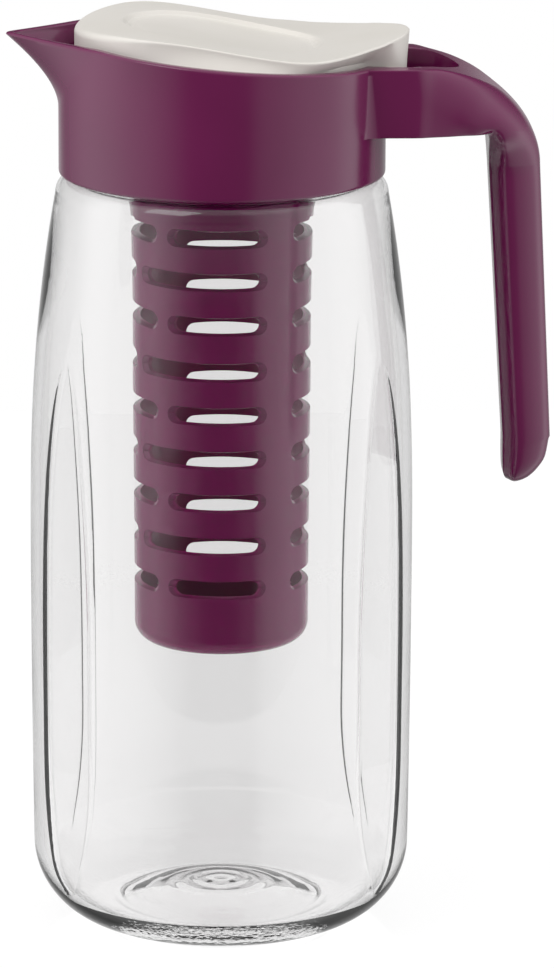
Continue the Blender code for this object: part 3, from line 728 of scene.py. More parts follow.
@dataclass
class GlassVessel(SubAssembly):
    """The tall glass with four flat flutes, a pushed-up base and a neck for the collar."""

    body = "glass"
    slot = "clear_glass"
    node = "glass_body"

    belly_radius: float = 0.0560
    belly_height: float = 0.1160
    foot_radius: float = 0.0554
    heel: float = 0.0233
    shoulder_height: float = 0.2180
    shoulder_radius: float = 0.0483
    shoulder_round: float = 0.0050
    swell_power: float = 2.4
    neck_radius: float = 0.0424
    neck_root: float = 0.2230
    lip_height: float = 0.2380
    lip_round: float = 0.0012
    wall: float = 0.0028
    bend_wall: float = 0.0010
    bend_drop: float = 0.0430
    floor: float = 0.0042
    well_turn: float = -40.0
    floor_rise: float = 0.0008
    ring_radius: float = 0.0310
    ring_width: float = 0.0040
    ring_soft: float = 0.0008
    dome_inset: float = 0.0012
    dome_power: float = 2.6
    push_up: float = 0.0070
    inner_dome_power: float = 2.2
    inner_push_up: float = 0.9
    ripple: float = 0.00005
    ripple_pitch: float = 0.0052
    inner_ripple_pitch: float = 0.0047
    flute_angle: int = 57
    flute_half: int = 12
    flute_top: float = 0.1730
    flute_bottom: float = 0.0140
    flute_depth: float = 0.0013
    flute_run_out: float = 0.0400
    flute_run_in: float = 0.0850
    spread: float = 0.0110
    flute_lip: float = 0.00026
    flute_hollow: float = 0.00020
    least_half: float = math.radians(3.0)
    edge_round: float = math.radians(0.35)
    rows_below: float = 0.016
    rows_above: float = 0.003
    crisp_edge: float = math.radians(60.0)
    steps: int = 360

    RING_LIFTS = (0.0009, 0.0003, 0.0002)
    ROWS = (62, 28, 24)
    INNER_ROWS = 60
    NECK_STEPS = ((0.0, 0.0012), (0.0006, -0.0002), (0.0020, -0.0010))
    WELL = ((0.0438, 0.0084), (0.0395, 0.0064), (0.0355, 0.0050))

    def radius_at(self, z: float) -> float:
        """Work out the outer radius between the heel and the shoulder.

        Args:
            z: Height on the wall.

        Returns:
            The radius, before the round of the heel.
        """
        if z <= self.belly_height:
            share = (self.belly_height - max(z, self.heel)) / (self.belly_height - self.heel)
            return self.belly_radius - (self.belly_radius - self.foot_radius) * share**2
        share = (z - self.belly_height) / (self.shoulder_height - self.belly_height)
        drawn = (self.belly_radius - self.shoulder_radius) * share**self.swell_power
        return self.belly_radius - drawn

    def outside(self) -> Profile:
        """Draw the outer profile.

        Returns:
            The profile, from the middle of the push-up to the lip.
        """
        ring_in = self.ring_radius - self.ring_width / 2
        ring_out = self.ring_radius + self.ring_width / 2
        line = []
        for i in range(24):
            r = between(0, ring_in - self.dome_inset, i / 24)
            rise = self.push_up * (1 - (r / ring_in) ** self.dome_power)
            ripple = self.ripple * math.cos(math.tau * r / self.ripple_pitch)
            line.append((r, rise + ripple))
        soft = self.ring_soft
        foot, inner_edge, outer_edge = self.RING_LIFTS
        line += [(ring_in - soft, foot), (ring_in, inner_edge), (ring_in + soft, 0.0)]
        line += [(ring_out - soft, 0.0), (ring_out, outer_edge)]
        line += arc(self.foot_radius - self.heel, self.heel, self.heel, -82, 0, 34)
        top, lip = self.shoulder_height, self.lip_round
        stops = (self.heel, self.flute_top - self.rows_below, self.flute_top + self.rows_above, top)
        heights = []
        for low, high, rows in zip(stops, stops[1:], self.ROWS):
            heights += [between(low, high, i / rows) for i in range(1, rows + 1)]
        line += [(self.radius_at(z), z) for z in heights[:-1]]
        line += arc(self.shoulder_radius - self.shoulder_round, top, self.shoulder_round, 0, 80, 8)
        line.append((self.neck_radius, self.neck_root))
        line += arc(self.neck_radius - lip, self.lip_height - lip, lip, 0, 90, 5)
        return line

    def inside(self) -> Profile:
        """Draw the inner profile.

        Returns:
            The profile, from the lip down to the middle of the floor.
        """
        bore = self.neck_radius - self.wall
        top, lip, thin = self.shoulder_height, self.lip_round, self.bend_wall
        line = arc(bore + lip, self.lip_height - lip, lip, 90, 180, 5)
        line += [(bore + out, self.neck_root + up) for out, up in self.NECK_STEPS]
        centre = self.shoulder_radius - self.shoulder_round
        line += arc(centre, top, self.shoulder_round - thin, 84, 0, 12)
        for i in range(self.INNER_ROWS - 1, 0, -1):
            z = between(self.heel, top, i / self.INNER_ROWS)
            wall = between(self.wall, thin, eased(1 - (top - z) / self.bend_drop))
            line.append((self.radius_at(z) - wall, z))
        bend = self.heel - self.floor
        line += arc(self.foot_radius - self.wall - bend, self.heel, bend, 0, self.well_turn, 12)
        line += self.WELL
        reach = line[-1][0]
        for i in range(1, 29):
            r = between(reach, 0, i / 28)
            rise = max(0.0, 1 - (r / self.ring_radius) ** self.inner_dome_power)
            dome = self.push_up * rise * self.inner_push_up
            ripple = self.ripple * math.cos(math.tau * r / self.inner_ripple_pitch)
            level = between(self.floor, self.floor + self.floor_rise, (r / reach) ** 4)
            line.append((r, level + dome + ripple))
        return line

    def flute_half_angle(self, z: float) -> float:
        """Work out how wide a flute is.

        Args:
            z: Height on the wall.

        Returns:
            Half the flute's width, as an angle about the axis.
        """
        run_in = (self.flute_top - z) / self.flute_run_in
        ends = min((z - self.flute_bottom) / self.flute_run_out, run_in)
        if ends <= 0:
            return 0.0
        depth = self.flute_depth * math.sin(min(1.0, ends) * math.pi / 2)
        radius = self.wall_radius(z)
        return math.acos((radius - depth) / radius)

    def column_half_angle(self, z: float) -> float:
        """Work out where the columns at a flute's edge are drawn.

        Args:
            z: Height on the wall.

        Returns:
            Their angle from the flute's middle.
        """
        half = max(self.flute_half_angle(z), self.least_half)
        above = (z - self.flute_top) / (2 * self.spread)
        beyond = max((self.flute_bottom - z) / self.spread, above)
        return between(half, math.radians(self.flute_half), eased(beyond))

    def wall_radius(self, z: float) -> float:
        """Return the outer radius at height z, with the round of the heel."""
        rise = max(0.0, self.heel - z)
        return self.radius_at(z) - self.heel + math.sqrt(self.heel**2 - rise**2)

    def press(self, co: Vector) -> None:
        """Slide a point of the outer wall to a flute's edge, or flatten it between the edges.

        Args:
            co: The point, which is moved.
        """
        z = co.z
        if z < self.flute_bottom - self.spread or z > self.flute_top + self.spread * 2:
            return
        radius = math.hypot(co.x, co.y)
        turn = math.degrees(math.atan2(co.x, -co.y))
        side = math.copysign(1.0, turn)
        folded = abs(turn)
        mirrored = folded > 90
        if mirrored:
            folded = 180 - folded
        offset = round(folded - self.flute_angle, 4)
        end = 90 - self.flute_angle if offset > 0 else self.flute_angle
        half = self.flute_half_angle(z)
        wide = self.column_half_angle(z)
        steps_out = abs(offset)
        if steps_out < self.flute_half - 0.5:
            share = steps_out / (self.flute_half - 1)
            angle = (wide - self.edge_round) * share
        elif steps_out < self.flute_half + 0.5:
            angle = wide
        else:
            share = (steps_out - self.flute_half - 1) / (end - self.flute_half - 1)
            angle = between(wide + self.edge_round, math.radians(end), share)
        if half > 0 and angle < half:
            share = angle / half
            growth = min(1.0, half / math.radians(self.flute_half))
            hollow = self.flute_lip + self.flute_hollow * (1 - share**2)
            radius = radius * math.cos(half) / math.cos(angle) - hollow * growth
        folded_angle = math.radians(self.flute_angle) + math.copysign(angle, offset)
        full = side * (math.pi - folded_angle if mirrored else folded_angle)
        co.x = radius * math.sin(full)
        co.y = -radius * math.cos(full)

    def press_inside(self, co: Vector) -> None:
        """Push a point of the inner wall in behind a flute, more softly than outside.

        Args:
            co: The point, which is moved.
        """
        half = self.flute_half_angle(co.z)
        turn = abs(math.degrees(math.atan2(co.x, -co.y)))
        angle = math.radians(abs(min(turn, 180 - turn) - self.flute_angle))
        if half <= 0 or angle >= half:
            return
        radius = math.hypot(co.x, co.y)
        depth = self.wall_radius(co.z) * (1 - math.cos(half)) * (1 - (angle / half) ** 2)
        co.x *= 1 - depth / radius
        co.y *= 1 - depth / radius

    def build(self) -> bpy.types.Object:
        """Spin the vessel and press its flutes.

        Returns:
            The finished piece.
        """
        piece = Bench.lathe("glass_vessel", self.outside() + self.inside(), self.steps)
        for vert in piece.data.vertices:
            radius = math.hypot(vert.co.x, vert.co.y)
            if vert.co.z >= self.shoulder_height:
                continue
            if radius > self.wall_radius(vert.co.z) - self.wall / 2:
                self.press(vert.co)
            elif radius > self.wall_radius(vert.co.z) - self.wall * 2:
                self.press_inside(vert.co)
        Bench.settle(piece, self.crisp_edge)
        return piece


# The sealing ring


@dataclass
class SealingRing(SubAssembly):
    """The flat silicone ring on the lip of the glass, with a bead along each edge."""

    body = "gasket"
    slot = "silicone"
    node = "neck_gasket"

    bottom: float = 0.2383
    thickness: float = 0.0014
    outer: float = 0.0434
    width: float = 0.0056
    steps: int = 160

    WAIST = (0.35, 0.5, 0.65)

    def build(self) -> bpy.types.Object:
        """Spin the ring.

        Returns:
            The finished piece.
        """
        low, high = self.bottom, self.bottom + self.thickness
        inner = self.outer - self.width
        soft = self.thickness / 4
        waist = self.thickness / 5
        profile = arc(self.outer - soft, low + soft, soft, -90, 0, 4)
        profile += arc(self.outer - soft, high - soft, soft, 0, 90, 4)
        for share in self.WAIST:
            profile.append((between(self.outer, inner, share), high - waist))
        profile += arc(inner + soft, high - soft, soft, 90, 180, 4)
        profile += arc(inner + soft, low + soft, soft, 180, 270, 4)
        for share in reversed(self.WAIST):
            profile.append((between(self.outer, inner, share), low + waist))
        profile.append(profile[0])
        piece = Bench.lathe("sealing_ring", profile, self.steps)
        Bench.settle(piece)
        return piece


# The collar with its spout and handle


@dataclass
class Rim:
    """The sloping rim that the collar and the lid share."""

    height: float = 0.2610
    slope: float = 0.0880
    level_from: float = 0.0357
    reach: float = 0.0632
    tip_rise: float = 0.0008

    def at(self, x: float) -> float:
        """Return the rim's height at a distance x behind the axis."""
        beyond = max(0.0, -x - self.level_from) / (self.reach - self.level_from)
        return self.height - self.slope * max(x, -self.level_from) + self.tip_rise * beyond**2


@dataclass
class PouringCollar(SubAssembly):
    """The moulding round the neck: basin, spout, socket for the infuser and handle."""

    body = "collar"
    slot = "plum_plastic"
    node = "spout_collar"

    rim: Rim
    bore: float = 0.0437
    radius: float = 0.0473
    bottom: float = 0.2235
    floor_underside: float = 0.2400
    floor_top: float = 0.2425
    flare_start: float = 0.2430
    flare_power: float = 1.70
    spout_wall: float = 0.0026
    tip_round: float = 0.018
    rim_round: float = 0.0008
    cove: float = 1.2
    edge_round: float = 0.0012
    socket_outer: float = 0.0295
    socket_radius: float = 0.0262
    socket_bore: float = 0.0240
    socket_top: float = 0.2397
    socket_bottom: float = 0.2305
    groove_radius: float = 0.0283
    groove_bottom: float = 0.2340
    groove_top: float = 0.2380
    arm_top: float = 0.25722
    arm_underside: float = 0.23732
    arm_half: float = 0.0230
    gusset_low: float = 0.0060
    gusset_high: float = 0.0020
    gusset_sink: float = 0.0015
    gusset_root: float = 0.0085
    gusset_up: float = 0.0003
    gusset_down: float = 0.0014
    bend_start: float = 0.0540
    bend_reach: float = 0.0920
    bend_bottom: float = 0.22652
    bend_power: float = 1.93
    grip_inner_top: float = 0.0770
    grip_inner_bottom: float = 0.0820
    handle_reach: float = 0.0960
    grip_bottom: float = 0.13202
    grip_end: float = 0.0135
    grip_depth: float = 0.0140
    grip_half: float = 0.0105
    nose_half: float = 0.0052
    spine_half: float = 0.0030
    pocket_half: float = 0.0170
    pocket_floor: float = 0.24122
    pocket_length: float = 0.0214
    pocket_overlap: float = 0.0004
    mouth_overlap: float = 0.0003
    mouth_drop: float = 0.0002
    dam_top: float = 0.24722
    pivot_x: float = 0.0470
    pivot_z: float = 0.25202
    pivot_bore: float = 0.0023
    pivot_reach: float = 0.0187
    lug_way_turn: float = math.radians(9.0)
    lug_way_half: float = 16.0
    lug_way_inset: float = 0.0016
    lug_way_low: float = 0.2270
    lug_way_high: float = 0.2356
    steps: int = 256

    ROOT_STEPS = (0.0010, 0.0035)
    # Along the bend: its place, how far the inner line is across and down, the widths of the
    # nose, the widest line and the spine, the places of the widest line and the nose line, and
    # the width left on the inner face.
    BEND_SHARES = (
        (0.00, 0.00, 0.00, 1.00, 1.00, 1.00, 0.50, 0.03, 0.98),
        (0.04, 0.073, 0.00, 0.995, 0.994, 0.985, 0.495, 0.03, 0.98),
        (0.12, 0.22, 0.00, 0.94, 0.92, 0.77, 0.45, 0.03, 0.98),
        (0.24, 0.44, 0.00, 0.87, 0.84, 0.61, 0.36, 0.03, 0.98),
        (0.36, 0.64, 0.00, 0.80, 0.78, 0.40, 0.30, 0.04, 0.97),
        (0.47, 0.82, 0.00, 0.76, 0.71, 0.10, 0.26, 0.05, 0.96),
        (0.58, 0.94, 0.02, 0.63, 0.64, 0.00, 0.30, 0.07, 0.92),
        (0.72, 0.98, 0.25, 0.43, 0.54, 0.00, 0.36, 0.06, 0.90),
        (0.86, 0.99, 0.60, 0.17, 0.24, 0.00, 0.34, 0.05, 0.90),
        (1.00, 1.00, 1.00, 0.00, 0.00, 0.00, 0.32, 0.04, 0.90),
    )
    # Along the grip's end: its place, how far the inner and outer lines are still up, how far
    # each has come in, and the width.
    GRIP_END_SHARES = (
        (0.00, 1.00, 1.00, 0.00, 0.00, 1.00),
        (0.25, 0.70, 0.95, 0.00, 0.02, 0.99),
        (0.50, 0.44, 0.56, 0.005, 0.09, 0.96),
        (0.70, 0.22, 0.30, 0.02, 0.24, 0.88),
        (0.88, 0.06, 0.11, 0.08, 0.42, 0.72),
        (1.00, 0.00, 0.02, 0.18, 0.56, 0.46),
    )
    # Along the pocket: its place and its width.
    POCKET_SHARES = (
        (0.0, 1.0), (0.32, 0.985), (0.53, 0.88), (0.76, 0.68), (0.92, 0.38), (1.0, 0.12),
    )

    def beak(self, radius: float, reach: float) -> Outline:
        """Draw a circle out to a beak.

        Args:
            radius: Radius of the round part.
            reach: Distance of the beak's tip from the axis.

        Returns:
            The plan outline, anticlockwise from the handle's side.
        """
        spread = math.acos(min(1.0, radius / reach))
        soft = self.tip_round if reach > radius + MERGE else 0.0
        points = []
        for i in range(self.steps):
            angle = math.tau * i / self.steps
            off_spout = math.hypot(angle - math.pi, soft)
            length = radius / math.cos(max(0.0, spread - off_spout))
            points.append((length * math.cos(angle), length * math.sin(angle)))
        return points

    def flare(
        self, radius: float, reach: float, start: float, drop: float, levels: int
    ) -> list[Ring]:
        """Draw rings that rise from a circle to the rim, drawn out to the spout.

        Args:
            radius: Radius of the circle.
            reach: Distance of the spout's tip from the axis, at the rim.
            start: Height of the circle.
            drop: How far below the rim the last ring stays.
            levels: Number of rings after the first.

        Returns:
            The rings from the circle up.
        """
        rings = []
        for i in range(levels + 1):
            share = i / levels
            outline = self.beak(radius, between(radius, reach, share**self.flare_power))
            rings.append([(x, y, between(start, self.rim.at(x) - drop, share)) for x, y in outline])
        return rings

    def body_rings(self) -> list[Ring]:
        """Draw the collar without its handle.

        Returns:
            Rings up the outside, over the rim, down the basin and through the neck space.
        """
        e, soft = self.edge_round, self.rim_round
        rings = []
        for r, z in arc(self.radius - e, self.bottom + e, e, -90, 0, 5):
            rings.append(level_ring(circle(r, self.steps), z))
        rings += self.flare(self.radius, self.rim.reach, self.flare_start, soft, 26)
        outer = self.beak(self.radius, self.rim.reach)
        inner_reach = self.rim.reach - self.spout_wall
        inner = self.beak(self.bore, inner_reach)
        turns = [math.radians(15 * i) for i in range(1, 7)]
        for turn in turns:
            plan = drawn_in(outer, soft * (1 - math.cos(turn)))
            rings.append([(x, y, self.rim.at(x) - soft * (1 - math.sin(turn))) for x, y in plan])
        for turn in reversed(turns):
            plan = drawn_in(inner, -soft * (1 - math.cos(turn)))
            rings.append([(x, y, self.rim.at(x) - soft * (1 - math.sin(turn))) for x, y in plan])
        rings += reversed(self.flare(self.bore, inner_reach, self.floor_top + soft, soft, 24))
        for r, z in arc(self.bore - soft, self.floor_top + soft, soft, -15, -90, 4):
            rings.append(level_ring(circle(r, self.steps), z))
        half = soft / 2
        floor = self.floor_top
        neck = [(self.socket_bore + soft, floor), (self.socket_bore, floor - half)]
        neck += [(self.socket_bore, self.socket_top), (self.socket_radius, self.socket_top)]
        neck += [(self.socket_radius, self.groove_top), (self.groove_radius, self.groove_top)]
        neck += [(self.groove_radius, self.groove_bottom), (self.socket_radius, self.groove_bottom)]
        low = self.socket_bottom
        neck += [(self.socket_radius, low + half), (self.socket_radius + half, low)]
        neck += [(self.socket_outer - half, low), (self.socket_outer, low + half)]
        neck += [(self.socket_outer, self.floor_underside), (self.bore, self.floor_underside)]
        neck += [(self.bore, self.bottom + half), (self.bore + half, self.bottom)]
        for r, z in neck:
            rings.append(level_ring(circle(r, self.steps), z))
        return rings

    def section(
        self,
        inner: tuple[float, float],
        outer: tuple[float, float],
        widths: Sequence[float],
        lines: Sequence[float],
    ) -> Ring:
        """Draw one section of the handle.

        Args:
            inner: Point (x, z) on the finger side.
            outer: Point (x, z) on the outer side.
            widths: Half widths of the nose, of the widest line and of the spine.
            lines: Places of the widest line and of the nose line, and the width left on
                the inner face.

        Returns:
            The ring, with its corners softened.
        """
        half_nose, half_wide, half_spine = widths
        wide_share, nose_share, face_share = lines
        half = [(0.0, half_nose * face_share * i / 8) for i in range(8)]
        for i in range(4):
            half.append((nose_share * i / 4, half_nose * between(face_share, 1, i / 4)))
        for i in range(14):
            across = between(half_nose, half_wide, math.sin(i / 14 * math.pi / 2))
            half.append((between(nose_share, wide_share, i / 14), across))
        for i in range(22):
            share = 1 - (1 - i / 22) ** 1.5
            across = between(half_spine, half_wide, math.sqrt(max(0.0, 1 - share**2)))
            half.append((between(wide_share, 1, share), across))
        for i in range(15):
            half.append((1.0, half_spine * (1 - (i / 14) ** 1.5)))
        flat = half + [(share, -across) for share, across in reversed(half[1:-1])]
        for _ in range(2):
            before, after = flat[-1:] + flat[:-1], flat[1:] + flat[:1]
            flat = [
                tuple((a + 2 * b + c) / 4 for a, b, c in zip(*near))
                for near in zip(before, flat, after)
            ]
        return [
            (between(inner[0], outer[0], share), across, between(inner[1], outer[1], share))
            for share, across in flat
        ]

    def handle_rings(self) -> list[Ring]:
        """Draw the handle.

        Returns:
            Sections from the collar's wall over the bend and down the grip.
        """
        full = (self.arm_half, self.arm_half, self.arm_half)
        lines = self.BEND_SHARES[0][6:]
        foot, head = (self.radius, self.arm_underside), (self.radius, self.arm_top)
        start = self.section(foot, head, full, lines)
        wall = (self.radius + self.bore) / 2
        rings = [[(math.sqrt(wall**2 - y**2), y, z) for _, y, z in start]]
        for root in self.ROOT_STEPS:
            rings.append([(self.radius + root, y, z) for _, y, z in start])
        stations = 52
        for i in range(stations + 1):
            turn = i / stations
            inner_x, inner_z, nose, wide, spine, *lines = flowing(self.BEND_SHARES, turn)
            across = math.sin(turn * math.pi / 2) ** (2 / self.bend_power)
            up = max(0.0, math.cos(turn * math.pi / 2)) ** (2 / self.bend_power)
            outer = (
                between(self.bend_start, self.bend_reach, across),
                between(self.bend_bottom, self.arm_top, up),
            )
            inner = (
                between(self.bend_start, self.grip_inner_top, inner_x),
                between(self.arm_underside, self.bend_bottom, inner_z),
            )
            widths = (
                between(self.nose_half, self.arm_half, nose),
                between(self.grip_half, self.arm_half, wide),
                between(self.spine_half, self.arm_half, spine),
            )
            rings.append(self.section(inner, outer, widths, lines))
        return rings + self.grip_rings()

    def grip_rings(self) -> list[Ring]:
        """Draw the grip.

        Returns:
            Sections from the foot of the bend to the grip's rounded end.
        """
        widths = (self.nose_half, self.grip_half, self.spine_half)
        lines = self.BEND_SHARES[-1][6:]
        rings = []
        for i in range(1, 25):
            share = i / 24
            z = between(self.bend_bottom, self.grip_bottom + self.grip_end, share)
            inner = (between(self.grip_inner_top, self.grip_inner_bottom, share), z)
            outer = (between(self.bend_reach, self.handle_reach, share), z)
            rings.append(self.section(inner, outer, widths, lines))
        for i in range(1, 17):
            inner_up, outer_up, inner_in, outer_in, width = flowing(self.GRIP_END_SHARES, i / 16)
            inner = (
                self.grip_inner_bottom + self.grip_depth * inner_in,
                self.grip_bottom + self.grip_end * inner_up,
            )
            outer = (
                self.handle_reach - self.grip_depth * outer_in,
                self.grip_bottom + self.grip_end * outer_up,
            )
            rings.append(self.section(inner, outer, [half * width for half in widths], lines))
        return rings

    def flared_prism(self, name: str, plan: Outline, low: float, high: float) -> bpy.types.Object:
        """Make a cutting block whose way out widens, so that the edge it leaves is rounded.

        Args:
            name: Name of the tool.
            plan: Plan of the block, anticlockwise.
            low: Height of its floor.
            high: Height of the surface that it breaks.

        Returns:
            The tool.
        """
        soft = self.rim_round
        cove = soft * self.cove
        rings = [level_ring(drawn_in(plan, cove), low)]
        for share in (0.35, 0.75, 1.0):
            rise = cove * (1 - math.cos(math.asin(share)))
            rings.append(level_ring(drawn_in(plan, cove * (1 - share)), low + rise))
        rings.append(level_ring(plan, high - soft))
        for i in range(1, 5):
            turn = math.radians(i * 20)
            grown = drawn_in(plan, -soft * (1 - math.cos(turn)))
            rings.append(level_ring(grown, high - soft + soft * math.sin(turn)))
        rings.append(level_ring(drawn_in(plan, -soft), high + OVERRUN))
        return Bench.skin(name, rings)

    def pocket_plan(self) -> Outline:
        """Draw the plan of the pocket in the arm, which closes to a point in the bend.

        Returns:
            The plan, anticlockwise.
        """
        side = []
        start = self.radius - self.pocket_overlap
        for i in range(33):
            (across,) = flowing(self.POCKET_SHARES, i / 32)
            side.append((start + self.pocket_length * i / 32, self.pocket_half * across))
        return [(x, -y) for x, y in side] + list(reversed(side))

    def mouth_plan(self) -> Outline:
        """Draw the plan of the way for the lid's tail through the collar's wall.

        Returns:
            The plan, clockwise.
        """
        wall = self.radius - self.bore
        centre_y = self.pocket_half + wall
        centre_x = math.sqrt((self.bore + wall) ** 2 - centre_y**2)
        turn = math.degrees(math.atan2(centre_y, centre_x))
        side = [(self.radius + self.mouth_overlap, self.pocket_half)]
        side += arc(centre_x, centre_y, wall, -90, turn - 180, 8)
        side.append((self.bore - 2 * wall, side[-1][1]))
        return side + [(x, -y) for x, y in reversed(side)]

    def lug_way(self, centre: float) -> bpy.types.Object:
        """Make a tool for one way down which a lug of the infuser comes into the groove.

        Args:
            centre: Angle of the way's middle.

        Returns:
            The tool.
        """
        inner, outer = self.socket_radius - self.lug_way_inset, self.groove_radius
        low, high = self.lug_way_low, self.lug_way_high
        rings = []
        for i in range(9):
            angle = centre + math.radians(between(-self.lug_way_half, self.lug_way_half, i / 8))
            section = ((inner, low), (outer, low), (outer, high), (inner, high))
            rings.append([(r * math.cos(angle), r * math.sin(angle), z) for r, z in section])
        return Bench.skin("lug_way_tool", rings)

    def gusset(self, side: int) -> bpy.types.Object:
        """Make the hollow round in the corner between the collar and the arm.

        Args:
            side: 1 for one side of the arm, -1 for the other.

        Returns:
            The form that is joined to the collar.
        """
        rings = []
        low, high = self.arm_underside + self.gusset_up, self.arm_top - self.gusset_down
        for i in range(13):
            share = i / 12
            radius = between(self.gusset_low, self.gusset_high, share)
            centre_y = self.arm_half + radius
            centre_x = math.sqrt((self.radius + radius) ** 2 - centre_y**2)
            start = math.degrees(math.atan2(centre_y, centre_x)) + 180
            curve = arc(centre_x, centre_y, radius, start, 270, 10)
            sunk = self.arm_half - self.gusset_sink
            curve += [(centre_x, sunk), (self.radius - self.gusset_root, sunk)]
            rings.append([(x, side * y, between(low, high, share)) for x, y in curve])
        return Bench.skin("gusset_form", rings)

    def build(self) -> bpy.types.Object:
        """Join the handle to the collar and open the pocket, the mouth and the pivot bores.

        Returns:
            The finished piece.
        """
        piece = Bench.skin("pouring_collar", self.body_rings(), looped=True)
        Bench.carve(piece, Bench.skin("handle_form", self.handle_rings()), Cut.JOIN)
        for side in (-1, 1):
            Bench.carve(piece, self.gusset(side), Cut.JOIN)
        for name, plan, low, high in (
            ("pocket_tool", self.pocket_plan(), self.pocket_floor, self.arm_top),
            ("mouth_tool", self.mouth_plan()[::-1], self.dam_top, self.arm_top - self.mouth_drop),
        ):
            Bench.carve(piece, self.flared_prism(name, plan, low, high), Cut.AWAY)
        Bench.clear()
        bpy.ops.mesh.primitive_cylinder_add(
            vertices=40,
            radius=self.pivot_bore,
            depth=2 * self.pivot_reach,
            location=(self.pivot_x, 0, self.pivot_z),
            rotation=(math.pi / 2, 0, 0),
        )
        Bench.carve(piece, bpy.context.object, Cut.AWAY)
        for half_turn in (0, math.pi):
            Bench.carve(piece, self.lug_way(self.lug_way_turn + half_turn), Cut.AWAY)
        Bench.settle(piece)
        return piece


# The infuser


